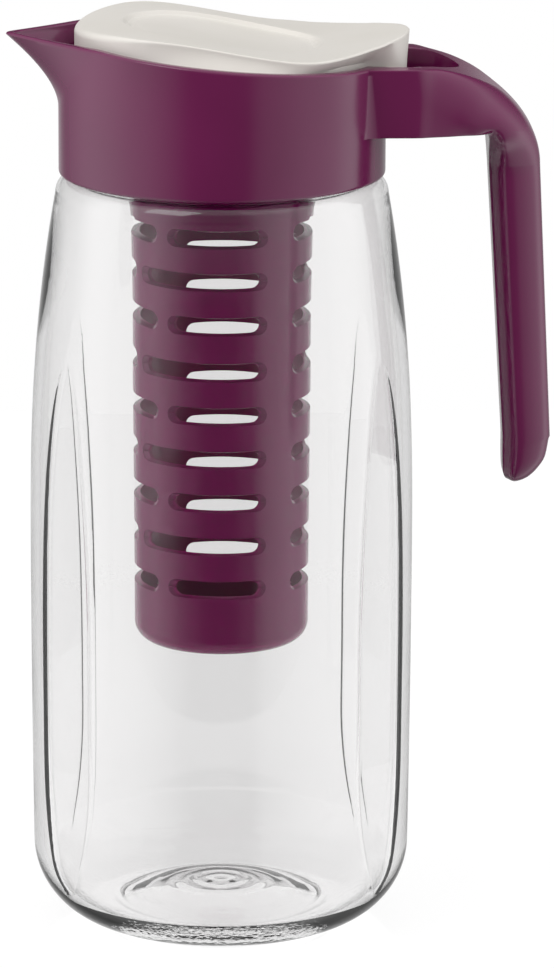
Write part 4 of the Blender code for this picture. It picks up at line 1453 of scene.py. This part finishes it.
@dataclass
class InfuserTube(SubAssembly):
    """The slotted basket that hangs in the glass, with two bayonet lugs."""

    body = "infuser"
    slot = "plum_plastic"
    node = "infuser_basket"

    top: float = 0.2394
    bottom: float = 0.0847
    top_radius: float = 0.0258
    bottom_radius: float = 0.0255
    shoulder_radius: float = 0.0267
    shoulder_height: float = 0.2285
    shoulder_soft: float = 0.0003
    shoulder_rise: float = 0.0007
    shoulder_step: float = 0.0013
    taper_power: float = 1.5
    wall: float = 0.0018
    bore_drop: float = 0.0010
    bottom_flat: float = 0.004
    bottom_round: float = 0.0055
    floor: float = 0.0020
    rows: int = 10
    first_row: float = 0.1051
    pitch: float = 0.0129
    slot_height: float = 0.0056
    top_slot: float = 0.0057
    top_slot_middle: float = 0.2232
    rib_angle: float = math.radians(39.0)
    rib_width: float = math.radians(21.0)
    web_width: float = math.radians(8.0)
    upper_web: float = math.radians(-42.0)
    lower_web: float = math.radians(-67.0)
    sink: float = 0.0006
    end_sink: float = 0.0016
    cut_depth: float = 0.72
    cut_reach: float = 1.15
    recess: float = 0.0014
    hole_depth: float = 0.0011
    edge_depth: float = 0.0002
    lug_low: float = 0.2344
    lug_height: float = 0.0032
    lug_outer: float = 0.0279
    lug_half: float = math.radians(12.0)
    lug_soft: float = 0.0004
    crisp_edge: float = math.radians(32.0)
    steps: int = 240

    SLOT_ENDS = (0.03, 0.16, 0.42, 0.75, 1.15)

    def radius_at(self, z: float) -> float:
        """Work out the outer radius below the shoulder under the socket.

        Args:
            z: Height up the tube.

        Returns:
            The radius.
        """
        low = self.bottom + self.bottom_round
        share = ((z - low) / (self.shoulder_height - low)) ** self.taper_power
        return between(self.bottom_radius, self.shoulder_radius, share)

    def profile(self) -> Profile:
        """Draw the tube without its slots.

        Returns:
            The profile from the middle of the floor up the outside and down the inside.
        """
        soft = self.wall / 3
        centre = self.bottom_radius - self.bottom_round
        line = [(0.0, self.bottom), (centre - self.bottom_flat, self.bottom)]
        line += arc(centre, self.bottom + self.bottom_round, self.bottom_round, -90, 0, 14)
        for i in range(1, 25):
            z = between(self.bottom + self.bottom_round, self.shoulder_height, i / 24)
            line.append((self.radius_at(z), z))
        shoulder = self.shoulder_height
        line.append((self.shoulder_radius - self.shoulder_soft, shoulder + self.shoulder_rise))
        line.append((self.top_radius, shoulder + self.shoulder_step))
        line += arc(self.top_radius - soft, self.top - soft, soft, 0, 90, 4)
        line += arc(self.top_radius - self.wall + soft, self.top - soft, soft, 90, 180, 4)
        line.append((self.top_radius - self.wall, shoulder - self.bore_drop))
        inner_round = self.bottom_round - self.wall
        floor = self.bottom + self.floor
        line += arc(centre, floor + inner_round, inner_round, 0, -90, 8)
        line.append((0.0, floor))
        return line

    def slot_tool(
        self, name: str, centre: float, width: float, z: float, height: float
    ) -> bpy.types.Object:
        """Make a bent bar with rounded ends, wider where it leaves the wall.

        Args:
            name: Name of the tool.
            centre: Middle of the slot, as an angle from the front.
            width: Angle between the slot's ends.
            z: Height of the slot's middle line.
            height: Height of the slot itself.

        Returns:
            The tool.
        """
        radius = self.radius_at(z)
        half = height / 2
        end = self.slot_height / 2 / radius
        sink_turn = self.end_sink / radius
        places = [(-width / 2 + end * (1 - math.cos(a)), math.sin(a)) for a in self.SLOT_ENDS]
        run = width / 2 - end
        steps = max(4, round(2 * run / math.radians(6)))
        places += [(between(-run, run, i / steps), 1.0) for i in range(steps + 1)]
        places += [(-offset, tall) for offset, tall in reversed(places[: len(self.SLOT_ENDS)])]
        # The top row, behind the collar, is a recess that stops short of the bore.
        through = height <= self.slot_height
        depth = radius * (self.cut_depth if through else 1 - self.recess / radius)
        rings = []
        for offset, tall in places:
            hole = offset * (1 - 2 * sink_turn / width)
            ring = []
            for r, turn, high in (
                (depth, hole, half - self.sink),
                (radius - self.hole_depth, hole, half - self.sink),
                (radius - self.edge_depth, offset, half - self.sink / 3),
                (radius * self.cut_reach, offset, half + self.sink),
            ):
                ring.append((r, turn, high * tall))
            loop = [(r, turn, -high) for r, turn, high in ring] + list(reversed(ring))
            points = []
            for r, turn, rise in loop:
                angle = centre + turn - math.pi / 2
                points.append((r * math.cos(angle), r * math.sin(angle), z + rise))
            rings.append(points)
        return Bench.skin(name, rings)

    def slots(self) -> Iterable[tuple[float, float, float, float]]:
        """Lay out the slots.

        Yields:
            Each slot's middle and width as angles, its place up the tube and its own height.
        """
        for row in range(self.rows):
            last_row = row == self.rows - 1
            z = self.top_slot_middle if last_row else self.first_row + self.pitch * row
            tall = self.top_slot if last_row else self.slot_height
            web = self.upper_web if row % 2 == 0 else self.lower_web
            half_web = self.web_width / 2
            for half_turn in (0, math.pi):
                first = self.rib_angle - math.pi + self.rib_width / 2 + half_turn
                last = self.rib_angle - self.rib_width / 2 + half_turn
                middle = web + half_turn
                yield (first + middle - half_web) / 2, middle - half_web - first, z, tall
                yield (middle + half_web + last) / 2, last - middle - half_web, z, tall

    def lug(self, centre: float) -> bpy.types.Object:
        """Make one bayonet lug.

        Args:
            centre: Angle of the lug's middle.

        Returns:
            The form that is joined to the tube.
        """
        rings = []
        soft = self.lug_soft
        low, high = self.lug_low, self.lug_low + self.lug_height
        inner = self.top_radius - self.wall / 2
        for i in range(11):
            share = abs(i / 5 - 1)
            angle = centre + between(-self.lug_half, self.lug_half, i / 10)
            outer = self.lug_outer - soft * share**6
            section = [(inner, low), (outer - soft, low), (outer, low + soft)]
            section += [(outer, high - soft), (outer - soft, high), (inner, high)]
            rings.append([(r * math.cos(angle), r * math.sin(angle), z) for r, z in section])
        return Bench.skin("lug_form", rings)

    def build(self) -> bpy.types.Object:
        """Spin the tube, cut its slots and add its lugs.

        Returns:
            The finished piece.
        """
        piece = Bench.lathe("infuser_tube", self.profile(), self.steps)
        tools = []
        for i, (centre, width, z, height) in enumerate(self.slots()):
            tools.append(self.slot_tool(f"slot_tool_{i}", centre, width, z, height))
        Bench.clear()
        for tool in tools:
            tool.select_set(True)
        bpy.context.view_layer.objects.active = tools[0]
        bpy.ops.object.join()
        Bench.carve(piece, tools[0], Cut.AWAY)
        for half_turn in (0, math.pi):
            Bench.carve(piece, self.lug(self.rib_angle - math.pi / 2 + half_turn), Cut.JOIN)
        Bench.settle(piece, self.crisp_edge)
        return piece


# The lid


@dataclass
class RockingLid(SubAssembly):
    """The waved white lid with its shallow dish, its tail and its pivot."""

    body = "lid"
    slot = "white_plastic"
    node = "lid"

    rim: Rim
    radius: float = 0.0426
    crest: float = 0.2681
    crest_ahead: float = 0.0280
    brow_drop: float = 0.0016
    trough: float = 0.2617
    trough_back: float = 0.0270
    tail_rise: float = 0.0038
    tail_power: float = 1.5
    tail_end: float = 0.0529
    lip: float = 0.0011
    tail_bottom: float = 0.25302
    tail_half: float = 0.0164
    wall: float = 0.0022
    edge: float = 0.0006
    soft_edge: float = 0.0016
    soft_from: float = 112
    soft_over: float = 34
    overhang: float = 0.0032
    full_side: float = 0.85
    hollow_side: float = 1.6
    seat: float = 0.0003
    skirt_drop: float = 0.0040
    skirt_back: float = 0.0060
    skirt_fade: float = 0.0290
    skirt_rest: float = 0.0012
    dish_length: float = 0.0290
    dish_width: float = 0.0258
    dish_depth: float = 0.0012
    dish_step: float = 0.0010
    dish_wall: float = 0.10
    dish_far_wall: float = 0.05
    dish_groove: float = 0.0008
    dish_groove_width: float = 0.017
    pivot_x: float = 0.0470
    pivot_z: float = 0.25202
    boss_radius: float = 0.0042
    boss_length: float = 0.0026
    trunnion_radius: float = 0.0020
    trunnion_length: float = 0.0019

    # Round the crease, by degrees from the handle: how far it is drawn in and how far it
    # follows the tail.
    CREASE_SHARES = (
        (0, 0.0, 1.0), (5, 0.0, 0.975), (9, 0.0, 0.93), (12.5, 0.0, 0.865), (15.5, 0.0, 0.79),
        (18, 0.0, 0.72), (20, 0.0, 0.675), (22.5, 0.0, 0.625), (25.5, 0.0, 0.54), (29, 0.0, 0.43),
        (34, 0.0, 0.35), (40, 0.0, 0.265), (47, 0.0, 0.19), (54, 0.004, 0.115), (61, 0.025, 0.05),
        (68, 0.08, 0.0), (76, 0.129, 0.0), (84, 0.15, 0.0), (92, 0.155, 0.0), (100, 0.141, 0.0),
        (108, 0.11, 0.0), (116, 0.066, 0.0), (124, 0.023, 0.0), (132, 0.002, 0.0), (141, 0.0, 0.0),
        (150, 0.0, 0.0), (160, 0.0, 0.0), (170, 0.0, 0.0), (180, 0.0, 0.0),
    )

    SIDE_SHARES = (0.06, 0.15, 0.27, 0.40, 0.55, 0.70, 0.85, 1.0)

    def top_at(self, x: float) -> float:
        """Work out the height of the lid's wave.

        Args:
            x: Distance behind the axis.

        Returns:
            The height of the top, without the dish.
        """
        if x <= -self.crest_ahead:
            share = (-self.crest_ahead - x) / (self.radius - self.crest_ahead)
            return self.crest - self.brow_drop * share**2
        if x <= self.trough_back:
            share = (x + self.crest_ahead) / (self.trough_back + self.crest_ahead)
            return between(self.trough, self.crest, (1 + math.cos(share * math.pi)) / 2)
        share = (x - self.trough_back) / (self.tail_end - self.trough_back)
        return self.trough + self.tail_rise * share**self.tail_power

    def dish_at(self, x: float, y: float) -> float:
        """Work out the depth of the oval dish.

        Args:
            x: Distance behind the axis.
            y: Distance to the side, towards the back of the photograph's view.

        Returns:
            How far the top is lowered there.
        """
        across = math.hypot(x / self.dish_length, y / self.dish_width)
        side = min(1.0, max(0.0, 0.5 + y / self.dish_width))
        wall = (1 - across) / between(self.dish_wall, self.dish_far_wall, eased(side))
        bowl = self.dish_depth * max(0.0, 1 - across**2)
        from_foot = (across - 1 + self.dish_wall) / self.dish_groove_width
        groove = self.dish_groove * (1 - side) * math.exp(-(from_foot**2))
        return self.dish_step * eased(wall) + bowl + groove

    def plans(self) -> tuple[Outline, Outline]:
        """Draw the lid from above.

        Returns:
            The plan where the lid meets the mouth, and that of its crease.
        """
        mouth, crease = [], []
        tip = self.tail_end + self.lip
        for i in range(181):
            flat, follow = flowing(self.CREASE_SHARES, float(i))
            cosine, sine = math.cos(math.radians(i)), math.sin(math.radians(i))
            along = (abs(cosine) * self.radius / self.tail_end) ** 6
            across = (sine * self.radius / self.tail_half) ** 6
            tail = (along + across) ** (-1 / 6) if cosine > 0 else 0.0
            radius = self.radius * (1 + tail**24) ** (1 / 24)
            mouth.append((radius * cosine, radius * sine))
            radius = self.radius * (1 - flat) + (tip - self.radius) * follow
            crease.append((radius * cosine, radius * sine))
        close = [half + [(x, -y) for x, y in reversed(half[1:-1])] for half in (mouth, crease)]
        return close[0], close[1]

    def bottom_at(self, x: float) -> float:
        """Work out the height of the lid's lower edge.

        Args:
            x: Distance behind the axis.

        Returns:
            The height.
        """
        if x <= self.radius:
            share = eased((x - self.skirt_back) / self.skirt_fade)
            drop = between(self.skirt_drop, self.skirt_rest, share)
            return self.rim.at(max(x, -self.radius)) - drop
        return self.tail_bottom

    def on_top(self, outline: Outline, lowered: float) -> Ring:
        """Lay a plan outline on the lid's wave, lowered evenly."""
        return [(x, y, self.top_at(x) - self.dish_at(x, y) - lowered) for x, y in outline]

    def crease_rings(self, crease: Outline) -> list[Ring]:
        """Draw the top of the lid, out from the middle of the dish.

        Args:
            crease: Plan of the crease.

        Returns:
            Rings over the dish, out to the crease and round it.
        """
        dish = []
        for x, y in crease:
            reach = math.hypot(x / self.dish_length, y / self.dish_width)
            dish.append((x / reach, y / reach))
        count = len(crease)
        softness = [
            eased((min(i, count - i) - self.soft_from) / self.soft_over) for i in range(count)
        ]
        foot = 1 - self.dish_wall
        rings = [self.on_top(scaled(dish, foot * i / 14), 0) for i in range(1, 14)]
        for i in range(17):
            share = 1 - self.dish_wall * (1 - i / 16)
            rings.append(self.on_top(scaled(dish, share), 0))
        inner = mixed(drawn_in(crease, self.edge), drawn_in(crease, self.soft_edge), softness)
        for i in range(1, 14):
            rings.append(self.on_top(mixed(dish, inner, [i / 14] * count), 0))
        for i in range(6):
            turn = math.radians(18 * i)
            turned = []
            for edge in (self.edge, self.soft_edge):
                plan = drawn_in(crease, edge * (1 - math.sin(turn)))
                turned.append(self.on_top(plan, edge * (1 - math.cos(turn))))
            rings.append(mixed(turned[0], turned[1], softness))
        return rings

    def side_rings(self, mouth: Outline, crease: Outline, start: Ring) -> list[Ring]:
        """Draw the side of the lid.

        Args:
            mouth: Plan where the lid meets the mouth.
            crease: Plan of the crease.
            start: The last ring of the crease.

        Returns:
            Rings down the side to the lower edge.
        """
        rings = []
        for share in self.SIDE_SHARES:
            ring = []
            for (mx, my), (cx, cy), (_, _, high) in zip(mouth, crease, start):
                inset = (math.hypot(mx, my) - math.hypot(cx, cy)) / self.overhang
                lowered = min(1.0, max(0.0, 1 + inset))
                rest = self.rim.at(mx) + self.seat + self.edge
                level = between(rest, self.bottom_at(mx), lowered)
                turned_in = (1 + min(1.0, max(-1.0, inset))) / 2
                power = between(self.full_side, self.hollow_side, turned_in)
                hollow = share**power
                x, y = between(cx, mx, hollow), between(cy, my, hollow)
                ring.append((x, y, between(high, level, share)))
            rings.append(ring)
        side = rings[-1]
        for share in (0.5, 1.0):
            rings.append([(x, y, between(z, self.bottom_at(x), share)) for x, y, z in side])
        return rings

    def rings(self) -> list[Ring]:
        """Draw the whole shell.

        Returns:
            Rings over the top, down the side and back up under the thin shell.
        """
        mouth, crease = self.plans()
        rings = self.crease_rings(crease)
        rings += self.side_rings(mouth, crease, rings[-1])
        under = self.wall + self.edge
        inside = drawn_in(mouth, self.wall)
        narrow = []
        for (mx, my), (cx, cy) in zip(inside, drawn_in(crease, under)):
            narrow.append((mx, my) if math.hypot(mx, my) < math.hypot(cx, cy) else (cx, cy))
        rings.append([(x, y, self.bottom_at(x)) for x, y in inside])
        rings.append(self.on_top(narrow, under))
        for i in range(10, 0, -1):
            rings.append(self.on_top(scaled(narrow, i / 11), self.wall))
        return rings

    def pivot_form(self, side: int) -> bpy.types.Object:
        """Make one boss with its trunnion, turned about the pivot.

        Args:
            side: 1 for one side of the tail, -1 for the other.

        Returns:
            The form that is joined to the lid.
        """
        soft = self.trunnion_radius / 6
        near, far = self.tail_half - self.boss_length, self.tail_half + soft / 3
        tip = self.tail_half + self.trunnion_length
        line = [(near, self.boss_radius - soft), (near + soft, self.boss_radius)]
        line += [(far - soft, self.boss_radius), (far, self.boss_radius - soft)]
        line += [(far, self.trunnion_radius), (tip - soft, self.trunnion_radius)]
        line.append((tip, self.trunnion_radius - soft))
        rings = []
        for y, radius in line:
            round_line = circle(radius, 40)
            rings.append([(self.pivot_x + x, side * y, self.pivot_z + z) for x, z in round_line])
        return Bench.skin("pivot_form", rings)

    def build(self) -> bpy.types.Object:
        """Skin the lid and join its bosses and trunnions.

        Returns:
            The finished piece.
        """
        piece = Bench.skin("rocking_lid", self.rings())
        for side in (-1, 1):
            Bench.carve(piece, self.pivot_form(side), Cut.JOIN)
        Bench.settle(piece)
        return piece


# The studio


@dataclass
class Studio:
    """A white table in a soft light tent that is open towards the camera."""

    camera_place: Point = (-0.058692, -1.730483, 0.558627)
    camera_right: Point = (0.9994521373891196, -0.03286997093201173, 0.0038717023709296623)
    camera_up: Point = (0.004135051700712946, 0.24007398846753555, 0.9707457861915869)
    lens: float = 226.195
    sensor: float = 36.0
    table_half: float = 0.20
    table_front: float = -0.10
    table_back: float = 0.65
    table_drop: float = 0.0004
    table_seen: float = 0.91
    table_through: float = 0.81
    table_pale: Colour = (0.12, 0.12, 0.12, 1.0)
    table_dark: Colour = (0.11, 0.11, 0.11, 1.0)
    table_roughness: float = 0.12
    upper_rise: tuple[float, float] = (0.02, 0.12)
    top_rise: tuple[float, float] = (0.55, 0.8)
    top_light: float = 1.25
    brightest: float = 1.8
    lamp_place: Point = (-0.9, -0.9, 1.5)
    lamp_aim: Point = (0, 0, 0.13)
    lamp_size: float = 0.9
    lamp_power: float = 8.2
    nearest: float = 0.05

    # Light by azimuth, in degrees from the side on which the camera stands: the panels, the
    # tent above them, and the wall that rays meet after they pass through the glass.
    PANELS = (
        (-180, 0.80), (-168, 0.62), (-155, 0.36), (-145, 0.26), (-128, 0.68), (-118, 1.05),
        (-108, 1.37), (-99, 1.54), (-88, 1.60), (-80, 1.54), (-68, 1.32), (-55, 1.10),
        (-43, 0.78), (-37, 0.60), (-31, 0.40), (-26, 0.22), (-22, 0.17), (17, 0.17),
        (22, 0.46), (26, 0.64), (38, 0.80), (50, 1.00), (58, 1.14), (70, 1.22),
        (84, 1.34), (98, 1.72), (108, 1.60), (119, 1.05), (132, 0.55), (148, 0.34),
        (165, 0.50), (180, 0.80),
    )
    UPPER = (
        (-180, 0.08), (-150, 0.10), (-118, 0.80), (-99, 1.40), (-80, 1.50), (-55, 1.10),
        (-37, 0.70), (-22, 0.50), (17, 0.50), (38, 0.80), (58, 1.10), (84, 1.30),
        (108, 1.30), (132, 0.45), (150, 0.10), (180, 0.08),
    )
    WALL = (
        (-180, 0.95), (-154, 0.94), (-142, 0.72), (-128, 0.52), (-116, 0.72), (-99, 1.40),
        (-88, 1.46), (-68, 1.26), (-55, 1.08), (-43, 0.76), (-37, 0.58), (-31, 0.36),
        (-26, 0.12), (-22, 0.03), (17, 0.03), (22, 0.34), (26, 0.54), (38, 0.72),
        (50, 0.94), (70, 1.18), (84, 1.30), (99, 1.34), (116, 0.72), (128, 0.52),
        (142, 0.72), (154, 0.94), (180, 0.95),
    )

    def camera(self) -> None:
        """Add the camera at the photograph's viewing angle."""
        right, up = Vector(self.camera_right), Vector(self.camera_up)
        back = right.cross(up)
        bpy.ops.object.camera_add(location=self.camera_place)
        camera = bpy.context.object
        turn = Matrix((right, up, back)).transposed()
        camera.matrix_world = Matrix.Translation(self.camera_place) @ turn.to_4x4()
        camera.data.lens = self.lens
        camera.data.sensor_width = self.sensor
        camera.data.clip_start = self.nearest
        bpy.context.scene.camera = camera

    def ramp(self, book: ShaderBook, turn: Shade, stops: Sequence[tuple[float, float]]) -> Shade:
        """Read the light of the tent from the way a ray goes.

        Args:
            book: The world's node book.
            turn: Azimuth of the ray, as a share of a full turn.
            stops: Azimuths in degrees, each with its light.

        Returns:
            The light in that direction.
        """
        table = [(0.5 + azimuth / 360, (light / self.brightest,) * 3) for azimuth, light in stops]
        return book.node("ShaderNodeValToRGB", {"stops": table}, {0: turn}) * self.brightest

    def tent(self) -> None:
        """Paint the light tent on the world: panels at both sides, a wall behind the glass."""
        world = bpy.data.worlds.new("light_tent")
        bpy.context.scene.world = world
        book = ShaderBook(world)
        path = book.node("ShaderNodeLightPath").socket.node.outputs
        x, y, z = book.parts(book.node("ShaderNodeTexCoord", output="Generated"))
        azimuth = book.node("ShaderNodeMath", {"operation": "ARCTAN2"}, {0: x, 1: 0 - y})
        turn = azimuth / math.tau + 0.5
        above = z.step_up(*self.top_rise)
        panels = self.ramp(book, turn, self.PANELS)
        upper = self.ramp(book, turn, self.UPPER)
        panels = panels + z.step_up(*self.upper_rise) * (upper - panels)
        panels = panels + above * (self.top_light - panels)
        through = Shade(book, path["Is Transmission Ray"])
        light = panels + through * (self.ramp(book, turn, self.WALL) - panels)
        light = light + Shade(book, path["Is Camera Ray"]) * (1 - light)
        back = book.node("ShaderNodeBackground", None, {"Color": light, "Strength": 1.0})
        book.node("ShaderNodeOutputWorld", None, {"Surface": back})

    def table(self) -> None:
        """Lay the white table, which keeps the jug's shadow."""
        Bench.clear()
        middle = (self.table_front + self.table_back) / 2
        place = (AXIS_X, middle, -self.table_drop)
        bpy.ops.mesh.primitive_plane_add(size=2, location=place)
        top = bpy.context.object
        top.name = "table_top"
        top.scale = (self.table_half, (self.table_back - self.table_front) / 2, 1)
        bpy.ops.object.transform_apply(location=True, rotation=True, scale=True)
        top.visible_glossy = False
        made = bpy.data.materials.new("white_table")
        book = ShaderBook(made)
        path = book.node("ShaderNodeLightPath").socket.node.outputs
        seen = Shade(book, path["Is Camera Ray"]) * self.table_seen
        through = Shade(book, path["Is Transmission Ray"]) * self.table_through
        grain = book.noise(300.0, 2.0)
        book.surface(
            {
                "Base Color": book.blend(grain, self.table_pale, self.table_dark),
                "Roughness": self.table_roughness,
                "Emission Color": seen + through,
                "Emission Strength": 1.0,
            }
        )
        top.data.materials.append(made)

    def lamp(self) -> None:
        """Hang one large soft lamp above the left of the table."""
        Bench.clear()
        bpy.ops.object.light_add(type="AREA", location=self.lamp_place)
        lamp = bpy.context.object
        lamp.data.shape = "SQUARE"
        lamp.data.size = self.lamp_size
        lamp.data.energy = self.lamp_power
        lamp.visible_transmission = False
        aim = Vector(self.lamp_aim) - lamp.location
        lamp.rotation_euler = aim.to_track_quat("-Z", "Y").to_euler()

    def build(self) -> None:
        """Set up the camera, the light and the table."""
        self.camera()
        self.tent()
        self.table()
        self.lamp()
        bpy.context.scene.view_settings.view_transform = "Standard"


def main() -> None:
    """Build the jug piece by piece, dress it and set up the studio."""
    logging.basicConfig(level=logging.INFO, format="%(name)s: %(message)s")
    rim = Rim()
    # Painted light: the infuser, in the glass's shade, gets a brighter copy of the collar's plum,
    # and its inside is painted brighter still.
    plum_painted_light = GlossPlastic(
        name="plum_gloss_painted_light",
        deep=rgb(136, 10, 94),
        light=rgb(141, 12, 98),
        gleam=0.36,
        inner=rgb(172, 8, 118),
    )
    for assembly, finish in (
        (GlassVessel(), ClearGlass()),
        (SealingRing(), SoftSilicone()),
        (PouringCollar(rim), GlossPlastic()),
        (InfuserTube(), plum_painted_light),
        (RockingLid(rim), SatinPlastic()),
    ):
        assembly.dress(assembly.build(), finish.make())
    Studio().build()


if __name__ == "__main__":
    main()
